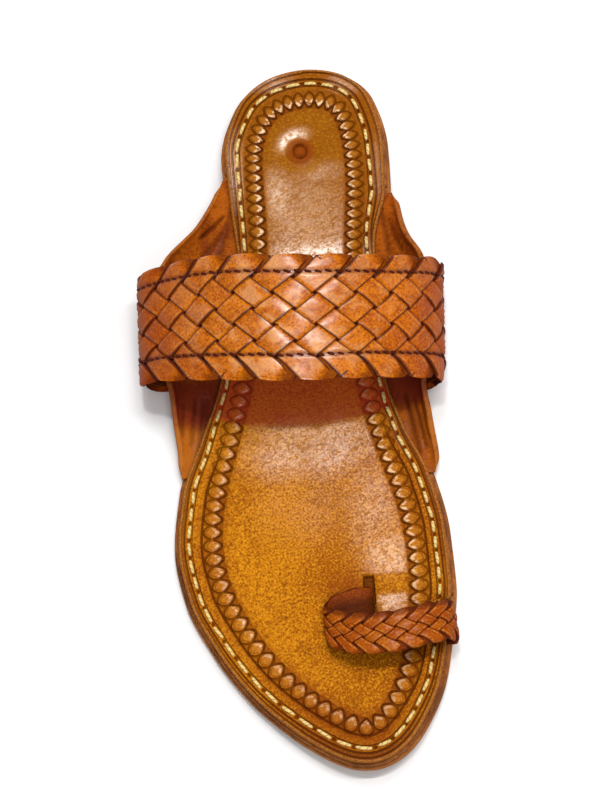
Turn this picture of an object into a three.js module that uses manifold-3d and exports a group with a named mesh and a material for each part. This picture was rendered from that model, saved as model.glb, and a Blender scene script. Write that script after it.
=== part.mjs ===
// A kolhapuri sandal for the right foot: a layered leather sole, two ear flaps let in between
// the layers, a wide braided band over the instep and a narrow braided loop for the big toe.
// The toe points to -Y, the big-toe (medial) side to +X, and the floor is Z = 0.
import * as THREE from "three";
import Module from "manifold-3d";

const wasm = await Module();
wasm.setup();

// Driving dimensions, in millimetres
const SOLE_LENGTH = 289;
const HEEL_AXIS_X = 11.8;
const HEEL_BACK_Y = SOLE_LENGTH / 2;
const HEEL_LIFT = 8;
const OUTSOLE_WALL = 4.5;
const MIDSOLE_WALL = 3;
const INSOLE_WALL = 3.6;
const FIT_GAP = 0.3;
const EDGE_BEVEL = 0.9;
const MIDSOLE_STEP_SHARE = 0.5;
const SOLE_STATIONS = 44;
const TIP_ANGLE = 0.07;

// Heights of the layers over the sole's own ground line
const OUTSOLE_TOP = OUTSOLE_WALL;
const MIDSOLE_BOTTOM = OUTSOLE_TOP + FIT_GAP;
const MIDSOLE_TOP = MIDSOLE_BOTTOM + MIDSOLE_WALL;
const INSOLE_BOTTOM = MIDSOLE_TOP + FIT_GAP;
const INSOLE_TOP = INSOLE_BOTTOM + INSOLE_WALL;
const ROOT_LEVEL = (OUTSOLE_TOP + INSOLE_BOTTOM) / 2;

// Outsole edges, measured across from the heel axis; step is how far the insole lies inside them
const OUTLINE = [
  { fromHeel: 0, lateral: 1, medial: 1, step: 2.2 },
  { fromHeel: 5, lateral: -18.5, medial: 20, step: 2.2 },
  { fromHeel: 15, lateral: -28.5, medial: 29, step: 2.2 },
  { fromHeel: 37, lateral: -35.5, medial: 33.5, step: 2.2 },
  { fromHeel: 57, lateral: -35.2, medial: 32.8, step: 2.4 },
  { fromHeel: 79, lateral: -34.6, medial: 27.6, step: 3 },
  { fromHeel: 107, lateral: -39.5, medial: 26, step: 3 },
  { fromHeel: 132, lateral: -47, medial: 26.6, step: 3 },
  { fromHeel: 152, lateral: -55.5, medial: 31.5, step: 2.8 },
  { fromHeel: 172, lateral: -63.6, medial: 39, step: 2.4 },
  { fromHeel: 197, lateral: -67.2, medial: 43.4, step: 2.2 },
  { fromHeel: 217, lateral: -64.2, medial: 43.8, step: 2.2 },
  { fromHeel: 237, lateral: -55.5, medial: 40.8, step: 2.2 },
  { fromHeel: 257, lateral: -42.5, medial: 36, step: 2.2 },
  { fromHeel: 272, lateral: -28, medial: 28.5, step: 2.2 },
  { fromHeel: 282, lateral: -15, medial: 20.5, step: 2.2 },
  { fromHeel: 289, lateral: 4, medial: 4, step: 2.2 },
];

// Underside of the outsole: flat over the heel lift, down through the waist, flat tread, toe spring
const GROUND = [
  { fromHeel: 0, rise: HEEL_LIFT },
  { fromHeel: 68, rise: HEEL_LIFT },
  { fromHeel: 92, rise: 6.2 },
  { fromHeel: 122, rise: 3.1 },
  { fromHeel: 150, rise: 0.7 },
  { fromHeel: 167, rise: 0 },
  { fromHeel: 230, rise: 0 },
  { fromHeel: 252, rise: 0.8 },
  { fromHeel: 272, rise: 2.8 },
  { fromHeel: 289, rise: 5.6 },
];

// Heel lift
const HEEL_BREAST = 64;
const HEEL_INSET = 0.8;
const HEEL_FLARE = 1;
const BREAST_HOLLOW = 4;
const HEEL_STATIONS = 16;
const HEEL_COLUMNS = 8;

// Ear flaps: the free edge, out from the insole edge and up from the level of the flap's root
const FLAP_WALL = 2.4;
const FLAP_ROOT = 11;
const FLAP_HOLD = 4;
const FLAP_LIP = 0.8;
const POCKET_ROOM = 1;
const POCKET_REACH = 30;
const FLAP_STATIONS = 22;
const FLAP_COLUMNS = 12;
const FLAP_PROFILE = [
  { out: 0.45, up: 0.12 },
  { out: 0.74, up: 0.36 },
  { out: 0.92, up: 0.67 },
  { out: 1, up: 1 },
];
const LATERAL_FLAP = [
  { fromHeel: 45, out: 2.5, up: 0.8 },
  { fromHeel: 54, out: 7, up: 2.4 },
  { fromHeel: 64, out: 13.6, up: 5.4 },
  { fromHeel: 80, out: 29, up: 11.8 },
  { fromHeel: 90, out: 33.4, up: 13.4 },
  { fromHeel: 102, out: 32.6, up: 13.8 },
  { fromHeel: 114, out: 29.4, up: 13.6 },
  { fromHeel: 131, out: 19, up: 11.6 },
  { fromHeel: 147, out: 11.3, up: 5.6 },
  { fromHeel: 158, out: 6, up: 2.2 },
  { fromHeel: 166, out: 2.7, up: 0.8 },
];
const MEDIAL_FLAP = [
  { fromHeel: 57, out: 3, up: 0.8 },
  { fromHeel: 67, out: 7.4, up: 3.4 },
  { fromHeel: 78, out: 13.2, up: 8 },
  { fromHeel: 88, out: 18.6, up: 11.4 },
  { fromHeel: 100, out: 20.8, up: 12.4 },
  { fromHeel: 129, out: 17.8, up: 12.4 },
  { fromHeel: 140, out: 13.4, up: 10.6 },
  { fromHeel: 152, out: 11, up: 7 },
  { fromHeel: 163, out: 7.4, up: 3 },
  { fromHeel: 173, out: 3.2, up: 0.8 },
];

// Instep band: its inner face at the heel-side and the toe-side edge, from lateral to medial
const BAND_GROOVE = 2.4;
const BAND_CREST = 3.8;
const BAND_EDGE_WALL = 1.8;
const BAND_STRANDS = 7;
const BAND_HALF_PITCH = 7.8;
const BAND_LOBE = 2.9;
const BAND_NOTCH = 1.5;
const LAP_SHARES = [0.66, 0.84, 1];
const LAP_GAP = 0.55;
const LATERAL_LAP = {
  rear: { fromHeel: 86, reach: -67.2, rise: 27 },
  front: { fromHeel: 131, reach: -69.4, rise: 23.5 },
};
const MEDIAL_LAP = {
  rear: { fromHeel: 91, reach: 46, rise: 25 },
  front: { fromHeel: 139.8, reach: 42, rise: 21 },
};
const BAND_ARCH = [
  { rearHeel: 86.3, rearAcross: -67, rearRise: 31.6, frontHeel: 131.5, frontAcross: -69.4, frontRise: 28 },
  { rearHeel: 87, rearAcross: -58, rearRise: 41, frontHeel: 133.5, frontAcross: -60.5, frontRise: 37 },
  { rearHeel: 89, rearAcross: -42, rearRise: 54.5, frontHeel: 137.5, frontAcross: -44, frontRise: 48 },
  { rearHeel: 92, rearAcross: -26, rearRise: 63, frontHeel: 141, frontAcross: -28, frontRise: 55.5 },
  { rearHeel: 95, rearAcross: -8, rearRise: 66.5, frontHeel: 143.5, frontAcross: -11, frontRise: 58 },
  { rearHeel: 95.8, rearAcross: 6, rearRise: 64.5, frontHeel: 143.8, frontAcross: 3, frontRise: 56 },
  { rearHeel: 95.5, rearAcross: 20, rearRise: 58, frontHeel: 143, frontAcross: 17, frontRise: 50 },
  { rearHeel: 94, rearAcross: 34.5, rearRise: 47, frontHeel: 142, frontAcross: 31, frontRise: 40 },
  { rearHeel: 92, rearAcross: 44, rearRise: 35, frontHeel: 140.5, frontAcross: 40.4, frontRise: 29.5 },
];

// Toe loop: the middle of its wall, from the medial root over the toe and into the slot
const LOOP_WIDTH = 16.5;
const LOOP_WALL = 2.2;
const LOOP_RELIEF = 0.8;
const LOOP_STRANDS = 5;
const LOOP_HALF_PITCH = 4.25;
const LOOP_LOBE = 1.5;
const LOOP_NOTCH = 0.8;
const LOOP_PATH = [
  { across: 29.5, fromHeel: 235, rise: 6.6 },
  { across: 33.5, fromHeel: 235, rise: 6.6 },
  { across: 37.8, fromHeel: 235, rise: 6.7 },
  { across: 40.6, fromHeel: 235, rise: 9.6 },
  { across: 40.6, fromHeel: 235, rise: 15.5 },
  { across: 38.4, fromHeel: 235.3, rise: 21.2 },
  { across: 32.5, fromHeel: 236.5, rise: 25.8 },
  { across: 22, fromHeel: 238.4, rise: 28.4 },
  { across: 9, fromHeel: 238.8, rise: 27 },
  { across: -2, fromHeel: 236.4, rise: 22.8 },
  { across: -7.8, fromHeel: 232, rise: 17.8 },
  { across: -6, fromHeel: 227, rise: 14.5 },
  { across: 2, fromHeel: 223.8, rise: 14.2 },
  { across: 7.8, fromHeel: 222.8, rise: 13.2 },
  { across: 9.4, fromHeel: 222.6, rise: 10.8 },
  { across: 9.5, fromHeel: 222.5, rise: 9.2 },
];
const SLOT = { across: 8.6, fromHeel: 222.5, width: 5.6, length: 18.4 };
const NOTCH = { across: 42.5, fromHeel: 235, width: 10, length: 18.4 };

// Half-pitches of a braid are cut into this many steps, so that its grooves run through vertices
const BRAID_STEPS = 3;
const LOOP_STEPS = 2;
const ARC_SAMPLES = 480;

const LEATHER = {
  outsole: 0x6b3a17,
  heel: 0x5a2f13,
  midsole: 0x7d4519,
  insole: 0xb9781f,
  flap: 0x8a4418,
  band: 0xb86a22,
  loop: 0xa95f1f,
};

// A smooth function of one column of a table that never swings past its rows
function through(rows, key, column) {
  const at = rows.map((row) => row[key]);
  const value = rows.map((row) => row[column]);
  const last = at.length - 1;
  const rate = (i) => (value[i + 1] - value[i]) / (at[i + 1] - at[i]);
  const slope = at.map((_, i) => {
    if (i === 0) return rate(0);
    if (i === last) return rate(last - 1);
    const before = rate(i - 1);
    const after = rate(i);
    if (before * after <= 0) return 0;
    return (2 * before * after) / (before + after);
  });
  return (x) => {
    let i = 0;
    while (i < last - 1 && x > at[i + 1]) i += 1;
    const span = at[i + 1] - at[i];
    const t = THREE.MathUtils.clamp((x - at[i]) / span, 0, 1);
    const rest = 1 - t;
    const ends = value[i] * (1 + 2 * t) * rest * rest + value[i + 1] * (3 - 2 * t) * t * t;
    return ends + span * (slope[i] * t * rest * rest - slope[i + 1] * rest * t * t);
  };
}

// A point of the shoe from its distance to the heel back, across the heel axis and up
function place(fromHeel, across, up) {
  return new THREE.Vector3(across + HEEL_AXIS_X, HEEL_BACK_Y - fromHeel, up);
}

// A closed solid between two grids of points with the same number of rows
function shell(top, bottom, splitOther = () => false) {
  const columns = top[0].length;
  const lower = bottom[0].length;
  const rows = top.length;
  const topAt = (r, c) => r * columns + c;
  const bottomAt = (r, c) => rows * columns + r * lower + c;
  const faces = [];
  const quad = (a, b, c, d, other) => {
    if (other) faces.push(a, b, d, b, c, d);
    else faces.push(a, b, c, a, c, d);
  };
  for (let r = 0; r + 1 < rows; r += 1) {
    for (let c = 0; c + 1 < columns; c += 1) {
      quad(topAt(r, c), topAt(r + 1, c), topAt(r + 1, c + 1), topAt(r, c + 1), splitOther(r, c));
    }
    for (let c = 0; c + 1 < lower; c += 1) {
      quad(bottomAt(r, c + 1), bottomAt(r + 1, c + 1), bottomAt(r + 1, c), bottomAt(r, c));
    }
    const end = columns - 1;
    const lowerEnd = lower - 1;
    quad(topAt(r, 0), bottomAt(r, 0), bottomAt(r + 1, 0), topAt(r + 1, 0));
    quad(topAt(r + 1, end), bottomAt(r + 1, lowerEnd), bottomAt(r, lowerEnd), topAt(r, end));
  }
  const closeEnd = (row, turned) => {
    let a = 0;
    let b = 0;
    while (a + 1 < columns || b + 1 < lower) {
      const topBehind = (a + 1) * (lower - 1) <= (b + 1) * (columns - 1);
      const stepTop = b + 1 === lower || (a + 1 < columns && topBehind);
      const face = stepTop
        ? [topAt(row, a), topAt(row, a + 1), bottomAt(row, b)]
        : [topAt(row, a), bottomAt(row, b + 1), bottomAt(row, b)];
      faces.push(...(turned ? face.reverse() : face));
      if (stepTop) a += 1;
      else b += 1;
    }
  };
  closeEnd(0, false);
  closeEnd(rows - 1, true);
  const geometry = new THREE.BufferGeometry();
  geometry.setFromPoints([...top.flat(), ...bottom.flat()]);
  geometry.setIndex(volumeOf(geometry, faces) < 0 ? faces.reverse() : faces);
  return geometry;
}

function volumeOf(geometry, faces) {
  const at = geometry.getAttribute("position");
  const corner = (i) => new THREE.Vector3().fromBufferAttribute(at, faces[i]);
  let volume = 0;
  for (let i = 0; i < faces.length; i += 3) {
    volume += corner(i).dot(corner(i + 1).cross(corner(i + 2))) / 6;
  }
  return volume;
}

function solidOf(geometry) {
  return new wasm.Manifold(
    new wasm.Mesh({
      numProp: 3,
      vertProperties: new Float32Array(geometry.getAttribute("position").array),
      triVerts: new Uint32Array(geometry.getIndex().array),
    }),
  );
}

function cutFrom(geometry, cutters) {
  const solid = cutters.reduce((left, cutter) => left.subtract(solidOf(cutter)), solidOf(geometry));
  const mesh = solid.getMesh();
  const cut = new THREE.BufferGeometry();
  cut.setAttribute("position", new THREE.BufferAttribute(new Float32Array(mesh.vertProperties), 3));
  cut.setIndex(Array.from(mesh.triVerts));
  return cut;
}

// The sole's outline runs round both ends, so its stations are spaced by angle
const turnOf = (fromHeel) => Math.acos(1 - (2 * fromHeel) / SOLE_LENGTH);
const turnedOutline = OUTLINE.map((row) => ({ ...row, turn: turnOf(row.fromHeel) }));
const edgeByTurn = {
  lateral: through(turnedOutline, "turn", "lateral"),
  medial: through(turnedOutline, "turn", "medial"),
};
const stepAt = through(OUTLINE, "fromHeel", "step");
const groundAt = through(GROUND, "fromHeel", "rise");

const fromHeelOf = (turn) => (SOLE_LENGTH / 2) * (1 - Math.cos(turn) / Math.cos(TIP_ANGLE));

// One point of an edge, moved in from the outsole edge by the given distance
function edgePoint(side, turn, inset) {
  const reach = 0.002;
  const across = edgeByTurn[side];
  const along = new THREE.Vector2(
    across(turn + reach) - across(turn - reach),
    fromHeelOf(turn + reach) - fromHeelOf(turn - reach),
  ).normalize();
  const inward = side === "lateral" ? 1 : -1;
  return {
    across: across(turn) + inward * along.y * inset,
    fromHeel: fromHeelOf(turn) - inward * along.x * inset,
  };
}

// The insole's edge at the waist, where it is a plain function of the distance from the heel
function insoleEdge(side, fromHeel) {
  return edgePoint(side, turnOf(fromHeel), stepAt(fromHeel)).across;
}

// One layer of the sole, with a small bevel round the top edge
function layer(stepShare, bottomLevel, topLevel, bevel) {
  const top = [];
  const bottom = [];
  for (let i = 0; i <= SOLE_STATIONS; i += 1) {
    const turn = THREE.MathUtils.lerp(TIP_ANGLE, Math.PI - TIP_ANGLE, i / SOLE_STATIONS);
    const inset = stepShare * stepAt(fromHeelOf(turn));
    const left = edgePoint("lateral", turn, inset);
    const right = edgePoint("medial", turn, inset);
    const width = right.across - left.across;
    const atTip = i === 0 || i === SOLE_STATIONS;
    const at = (share, level) => {
      const fromHeel = THREE.MathUtils.lerp(left.fromHeel, right.fromHeel, share);
      return place(fromHeel, left.across + share * width, groundAt(fromHeel) + level);
    };
    const lip = bevel / width;
    const crown = atTip ? topLevel - bevel : topLevel;
    top.push([at(0, topLevel - bevel), at(lip, crown), at(1 - lip, crown), at(1, topLevel - bevel)]);
    bottom.push([at(0, bottomLevel), at(1, bottomLevel)]);
  }
  return shell(top, bottom);
}

// The heel lift: the outline of the sole's back, flared down, with a hollow breast
function heelLift() {
  const lastTurn = turnOf(HEEL_BREAST);
  const grid = (inset, level) => {
    const rows = [];
    for (let i = 0; i <= HEEL_STATIONS; i += 1) {
      const turn = THREE.MathUtils.lerp(TIP_ANGLE, lastTurn, i / HEEL_STATIONS);
      const left = edgePoint("lateral", turn, inset);
      const right = edgePoint("medial", turn, inset);
      const row = [];
      for (let c = 0; c <= HEEL_COLUMNS; c += 1) {
        const share = c / HEEL_COLUMNS;
        const bow = 1 - (2 * share - 1) ** 2;
        const hollow = BREAST_HOLLOW * bow * (i / HEEL_STATIONS) ** 2;
        const fromHeel = THREE.MathUtils.lerp(left.fromHeel, right.fromHeel, share) - hollow;
        row.push(place(fromHeel, THREE.MathUtils.lerp(left.across, right.across, share), level));
      }
      rows.push(row);
    }
    return rows;
  };
  return shell(grid(HEEL_INSET, HEEL_LIFT - FIT_GAP), grid(HEEL_INSET + HEEL_FLARE, 0));
}

// The section of a flap: level in its pocket, over the lip of the outsole and up to the free edge
function flapSection(side, fromHeel, out, up) {
  const outward = side === "lateral" ? -1 : 1;
  const edge = insoleEdge(side, fromHeel);
  const root = groundAt(fromHeel) + ROOT_LEVEL;
  const at = (reach, lift) => place(fromHeel, edge + outward * reach, root + lift);
  const rise = FLAP_PROFILE.map((row) => at(FLAP_LIP + row.out * (out - FLAP_LIP), row.up * up));
  const points = [at(-FLAP_ROOT, 0), at(-FLAP_HOLD, 0), at(FLAP_LIP, 0), ...rise];
  return new THREE.CatmullRomCurve3(points, false, "centripetal");
}

// A point at a distance under or over the middle of a flap, and square to its section
function besideFlap(section, share, distance) {
  const along = section.getTangentAt(share);
  const over = new THREE.Vector3(-along.z, 0, along.x);
  if (over.z < 0) over.negate();
  return section.getPointAt(share).addScaledVector(over, distance);
}

function earFlap(side, table) {
  const outAt = through(table, "fromHeel", "out");
  const upAt = through(table, "fromHeel", "up");
  const first = table[0].fromHeel;
  const last = table[table.length - 1].fromHeel;
  const upper = [];
  const under = [];
  for (let i = 0; i <= FLAP_STATIONS; i += 1) {
    const fromHeel = THREE.MathUtils.lerp(first, last, i / FLAP_STATIONS);
    const section = flapSection(side, fromHeel, outAt(fromHeel), upAt(fromHeel));
    const shares = Array.from({ length: FLAP_COLUMNS + 1 }, (_, c) => c / FLAP_COLUMNS);
    upper.push(shares.map((share) => besideFlap(section, share, FLAP_WALL / 2)));
    under.push(shares.map((share) => besideFlap(section, share, -FLAP_WALL / 2)));
  }
  return shell(upper, under);
}

// The room that a flap or the loop's root takes out of the midsole
function pocket(side, first, last) {
  const outward = side === "lateral" ? -1 : 1;
  const floor = [];
  const roof = [];
  for (let i = 0; i <= FLAP_STATIONS; i += 1) {
    const fromHeel = THREE.MathUtils.lerp(first - POCKET_ROOM, last + POCKET_ROOM, i / FLAP_STATIONS);
    const inner = insoleEdge(side, fromHeel) - outward * (FLAP_ROOT + POCKET_ROOM);
    const outer = inner + outward * POCKET_REACH;
    const ground = groundAt(fromHeel);
    floor.push([place(fromHeel, inner, ground), place(fromHeel, outer, ground)]);
    roof.push([place(fromHeel, inner, ground + INSOLE_TOP), place(fromHeel, outer, ground + INSOLE_TOP)]);
  }
  return shell(roof, floor);
}

// How high the strips stand over the grooves at a place counted in half-pitches, from 0 to 1
function stripHeight(along, across, rows) {
  const row = THREE.MathUtils.clamp(across, 0, rows);
  const off = (x) => Math.abs(x - 2 * Math.round(x / 2));
  const inside = 1 - Math.max(off(along + row), off(along - row));
  return 1 - (1 - inside) ** 4;
}

// How far the edge lobes stand out at a place along the braid, from 0 in a notch to 1
function lobeShare(along, offset) {
  const off = Math.abs(along + offset - 2 * Math.round((along + offset) / 2));
  return 1 - off * off;
}

// A braided wall: point(along, across, lift) gives the surface, across counted from edge to edge
function braidedWall(wall) {
  const { length, width, strands, halfPitch, lobe, notch, steps, point, groove, relief, rim } = wall;
  const columns = Math.round(length / halfPitch);
  const rowPitch = (width - 2 * lobe) / strands;
  const outer = [];
  const inner = [];
  for (let r = 0; r <= columns * steps; r += 1) {
    const along = r / steps;
    const edgeAt = (offset) => notch + (lobe - notch) * lobeShare(along, offset);
    const start = lobe - edgeAt(0);
    const end = width - lobe + edgeAt(strands);
    const across = [start, (start + lobe) / 2];
    for (let c = 0; c <= strands * steps; c += 1) across.push(lobe + (c / steps) * rowPitch);
    across.push((end + width - lobe) / 2, end);
    const lastColumn = across.length - 1;
    outer.push(
      across.map((place, c) => {
        const lift = groove + relief * stripHeight(along, (place - lobe) / rowPitch, strands);
        const atRim = c === 0 || c === lastColumn;
        return point(along / columns, place / width, atRim ? rim : lift);
      }),
    );
    inner.push([point(along / columns, start / width, 0), point(along / columns, end / width, 0)]);
  }
  const rimColumns = 2;
  const splitOther = (r, c) => {
    const row = Math.floor((c - rimColumns) / steps);
    return (Math.floor(r / steps) + row) % 2 !== 0;
  };
  return shell(outer, inner, splitOther);
}

// Even steps along a curve given by its point at each share of its control points
function evenShares(pointAt) {
  const lengths = [0];
  for (let i = 1; i <= ARC_SAMPLES; i += 1) {
    const step = pointAt(i / ARC_SAMPLES).distanceTo(pointAt((i - 1) / ARC_SAMPLES));
    lengths.push(lengths[i - 1] + step);
  }
  const total = lengths[ARC_SAMPLES];
  const shareAt = (part) => {
    const wanted = part * total;
    let i = 0;
    while (i < ARC_SAMPLES - 1 && lengths[i + 1] < wanted) i += 1;
    return (i + (wanted - lengths[i]) / (lengths[i + 1] - lengths[i])) / ARC_SAMPLES;
  };
  return { total, shareAt };
}

// Where the band lies on the outside of a flap, at one of its two edges
function lapPoints(side, lap) {
  const outward = side === "lateral" ? -1 : 1;
  const out = outward * (lap.reach - insoleEdge(side, lap.fromHeel));
  const up = lap.rise - groundAt(lap.fromHeel) - ROOT_LEVEL;
  const section = flapSection(side, lap.fromHeel, out, up);
  return LAP_SHARES.map((share) => besideFlap(section, share, -FLAP_WALL / 2 - LAP_GAP));
}

function instepBand() {
  const edge = (name, heel, across, rise) => {
    const arch = BAND_ARCH.map((row) => place(row[heel], row[across], row[rise]));
    const start = lapPoints("lateral", LATERAL_LAP[name]);
    const finish = lapPoints("medial", MEDIAL_LAP[name]).reverse();
    return new THREE.CatmullRomCurve3([...start, ...arch, ...finish], false, "centripetal");
  };
  const rear = edge("rear", "rearHeel", "rearAcross", "rearRise");
  const front = edge("front", "frontHeel", "frontAcross", "frontRise");
  const middle = (t) => rear.getPoint(t).lerp(front.getPoint(t), 0.5);
  const { total, shareAt } = evenShares(middle);
  const width = rear.getPoint(0.5).distanceTo(front.getPoint(0.5));
  const onRuling = (t, across) => rear.getPoint(t).lerp(front.getPoint(t), across);
  const point = (part, across, lift) => {
    const t = shareAt(part);
    const reach = 0.002;
    const before = onRuling(Math.max(0, t - reach), across);
    const along = onRuling(Math.min(1, t + reach), across).sub(before);
    const over = along.cross(front.getPoint(t).sub(rear.getPoint(t))).normalize();
    return onRuling(t, across).addScaledVector(over, -lift);
  };
  return braidedWall({
    length: total,
    width,
    strands: BAND_STRANDS,
    halfPitch: BAND_HALF_PITCH,
    lobe: BAND_LOBE,
    notch: BAND_NOTCH,
    steps: BRAID_STEPS,
    groove: BAND_GROOVE,
    relief: BAND_CREST - BAND_GROOVE,
    rim: BAND_EDGE_WALL,
    point,
  });
}

function toeLoop() {
  const rows = LOOP_PATH.map((row) => place(row.fromHeel, row.across, row.rise));
  const path = new THREE.CatmullRomCurve3(rows, false, "centripetal");
  const { total, shareAt } = evenShares((t) => path.getPoint(t));
  const point = (part, across, lift) => {
    const t = shareAt(part);
    const sideways = new THREE.Vector3(0, -1, 0);
    const over = path.getTangent(t).cross(sideways).normalize();
    const inPocket = path.getPoint(t).z < INSOLE_TOP;
    const limit = inPocket ? LOOP_WALL : LOOP_WALL + LOOP_RELIEF;
    return path
      .getPoint(t)
      .addScaledVector(sideways, (across - 0.5) * LOOP_WIDTH)
      .addScaledVector(over, Math.min(lift, limit) - LOOP_WALL / 2);
  };
  return braidedWall({
    length: total,
    width: LOOP_WIDTH,
    strands: LOOP_STRANDS,
    halfPitch: LOOP_HALF_PITCH,
    lobe: LOOP_LOBE,
    notch: LOOP_NOTCH,
    steps: LOOP_STEPS,
    groove: LOOP_WALL,
    relief: LOOP_RELIEF,
    rim: LOOP_WALL,
    point,
  });
}

// A block that cuts a slot or notch right through the insole
function slotCutter(slot) {
  const box = new THREE.BoxGeometry(slot.width, slot.length, 2 * INSOLE_TOP);
  const centre = place(slot.fromHeel, slot.across, INSOLE_TOP);
  box.translate(centre.x, centre.y, centre.z);
  const corners = box.getAttribute("position");
  const unique = [];
  const indexOf = new Map();
  const index = Array.from(box.getIndex().array, (i) => {
    const at = new THREE.Vector3().fromBufferAttribute(corners, i);
    const key = at.toArray().join(" ");
    if (!indexOf.has(key)) {
      indexOf.set(key, unique.length);
      unique.push(at);
    }
    return indexOf.get(key);
  });
  const welded = new THREE.BufferGeometry().setFromPoints(unique);
  welded.setIndex(index);
  return welded;
}

const shoe = new THREE.Group();
shoe.name = "kolhapuri_sandal";

function add(name, geometry, colour) {
  geometry.computeVertexNormals();
  const mesh = new THREE.Mesh(geometry, new THREE.MeshStandardMaterial({ color: colour, roughness: 0.5 }));
  mesh.name = name;
  shoe.add(mesh);
}

const flapSpan = (table) => [table[0].fromHeel, table[table.length - 1].fromHeel];
const loopRoot = LOOP_PATH[0].fromHeel;
const pockets = [
  pocket("lateral", ...flapSpan(LATERAL_FLAP)),
  pocket("medial", ...flapSpan(MEDIAL_FLAP)),
  pocket("medial", loopRoot - LOOP_WIDTH / 2, loopRoot + LOOP_WIDTH / 2),
];

add("outsole", layer(0, 0, OUTSOLE_TOP, EDGE_BEVEL), LEATHER.outsole);
add("heel", heelLift(), LEATHER.heel);
const filler = layer(MIDSOLE_STEP_SHARE, MIDSOLE_BOTTOM, MIDSOLE_TOP, EDGE_BEVEL);
add("midsole", cutFrom(filler, pockets), LEATHER.midsole);
const footbed = layer(1, INSOLE_BOTTOM, INSOLE_TOP, EDGE_BEVEL);
add("insole", cutFrom(footbed, [slotCutter(SLOT), slotCutter(NOTCH)]), LEATHER.insole);
add("ear_flap_lateral", earFlap("lateral", LATERAL_FLAP), LEATHER.flap);
add("ear_flap_medial", earFlap("medial", MEDIAL_FLAP), LEATHER.flap);
add("instep_band", instepBand(), LEATHER.band);
add("toe_loop", toeLoop(), LEATHER.loop);

export default shoe;
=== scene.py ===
# %% [markdown]
# # A kolhapuri sandal in leather
# This lesson dresses a packed sandal: a layered stitched sole, two ear flaps, a wide braided band
# over the instep and a small braided loop for the big toe. Every cell first says what the piece is
# on the real shoe, then makes it. Lengths are in millimetres until a mesh is made.

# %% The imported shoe
import math

import bpy
import numpy as np
from mathutils import Matrix, Vector
from mathutils.kdtree import KDTree


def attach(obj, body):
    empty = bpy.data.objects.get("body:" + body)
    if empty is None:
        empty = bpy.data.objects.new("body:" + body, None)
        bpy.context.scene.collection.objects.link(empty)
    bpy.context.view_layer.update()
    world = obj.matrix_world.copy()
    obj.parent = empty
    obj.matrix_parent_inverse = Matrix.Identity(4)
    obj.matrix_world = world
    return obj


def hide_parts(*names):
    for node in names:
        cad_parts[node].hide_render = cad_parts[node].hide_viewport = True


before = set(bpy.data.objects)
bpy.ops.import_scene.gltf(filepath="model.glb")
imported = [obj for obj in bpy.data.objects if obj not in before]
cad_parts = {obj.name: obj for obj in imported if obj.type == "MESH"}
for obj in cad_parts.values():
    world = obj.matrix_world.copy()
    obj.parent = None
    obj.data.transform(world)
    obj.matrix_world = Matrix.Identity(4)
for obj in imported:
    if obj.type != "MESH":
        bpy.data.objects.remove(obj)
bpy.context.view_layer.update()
MM = 0.001
SEED = 7
rng = np.random.default_rng(SEED)
print("nodes:", sorted(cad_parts))

# %% [markdown]
# ## Tables and smooth curves
# A shoemaker keeps a few widths of the last, not hundreds of points. Short tables do the same here,
# and a curve that never swings past its rows runs through them. Its slope at a row is the harmonic
# mean of the slopes on both sides, and level where they differ in sign, so a waist stays a waist.

# %% Tables of sizes
def table(columns, *rows):
    """Rows of numbers under named columns, one array a column."""
    return dict(zip(columns.split(), np.array(rows, float).T))


def through(rows, column, key="from_heel"):
    """A smooth function of one column that never swings past its rows."""
    at, value = rows[key], rows[column]
    rate = np.diff(value) / np.diff(at)
    before, after = rate[:-1], rate[1:]
    same = before * after > 0
    inner = np.where(same, 2 * before * after / np.where(same, before + after, 1), 0)
    slope = np.concatenate([rate[:1], inner, rate[-1:]])

    def curve(x):
        i = np.clip(np.searchsorted(at, x) - 1, 0, len(at) - 2)
        span = at[i + 1] - at[i]
        t = np.clip((x - at[i]) / span, 0, 1)
        rest = 1 - t
        ends = value[i] * (1 + 2 * t) * rest**2 + value[i + 1] * (3 - 2 * t) * t**2
        return ends + span * (slope[i] * t * rest**2 - slope[i + 1] * rest * t**2)

    return curve


def ease(x, low, high):
    """0 below low, 1 above high, and a soft step between them."""
    t = np.clip((x - low) / (high - low), 0, 1)
    return t * t * (3 - 2 * t)


def dip(x, width):
    """A soft trough of the given half-width: 1 in the middle, 0 outside."""
    return np.exp(-((x / width) ** 2))


# %% The sole's own sizes
SOLE_LENGTH = 289
HEEL_AXIS_X = 11.8
HEEL_BACK_Y = SOLE_LENGTH / 2
HEEL_LIFT = 8
TIP_ANGLE = 0.07
END_TURN = 0.01
OUTSOLE_TOP = 4.5
MIDSOLE_BOTTOM, MIDSOLE_TOP = 4.8, 7.8
INSOLE_BOTTOM, INSOLE_TOP = 8.1, 11.7
ROOT_LEVEL = (OUTSOLE_TOP + INSOLE_BOTTOM) / 2
OUTWARD = {"lateral": -1, "medial": 1}
OUTLINE = table(
    "from_heel lateral medial step",
    (0, 1, 1, 2.2),
    (5, -18.5, 20, 2.2),
    (15, -28.5, 29, 2.2),
    (37, -35.5, 33.5, 2.2),
    (57, -35.2, 32.8, 2.4),
    (79, -34.6, 27.6, 3),
    (107, -39.5, 26, 3),
    (132, -47, 26.6, 3),
    (152, -55.5, 31.5, 2.8),
    (172, -63.6, 39, 2.4),
    (197, -67.2, 43.4, 2.2),
    (217, -64.2, 43.8, 2.2),
    (237, -55.5, 40.8, 2.2),
    (257, -42.5, 36, 2.2),
    (272, -28, 28.5, 2.2),
    (282, -15, 20.5, 2.2),
    (289, 4, 4, 2.2),
)
GROUND = table(
    "from_heel rise",
    (0, HEEL_LIFT),
    (68, HEEL_LIFT),
    (92, 6.2),
    (122, 3.1),
    (150, 0.7),
    (167, 0),
    (230, 0),
    (252, 0.8),
    (272, 2.8),
    (289, 5.6),
)


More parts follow.
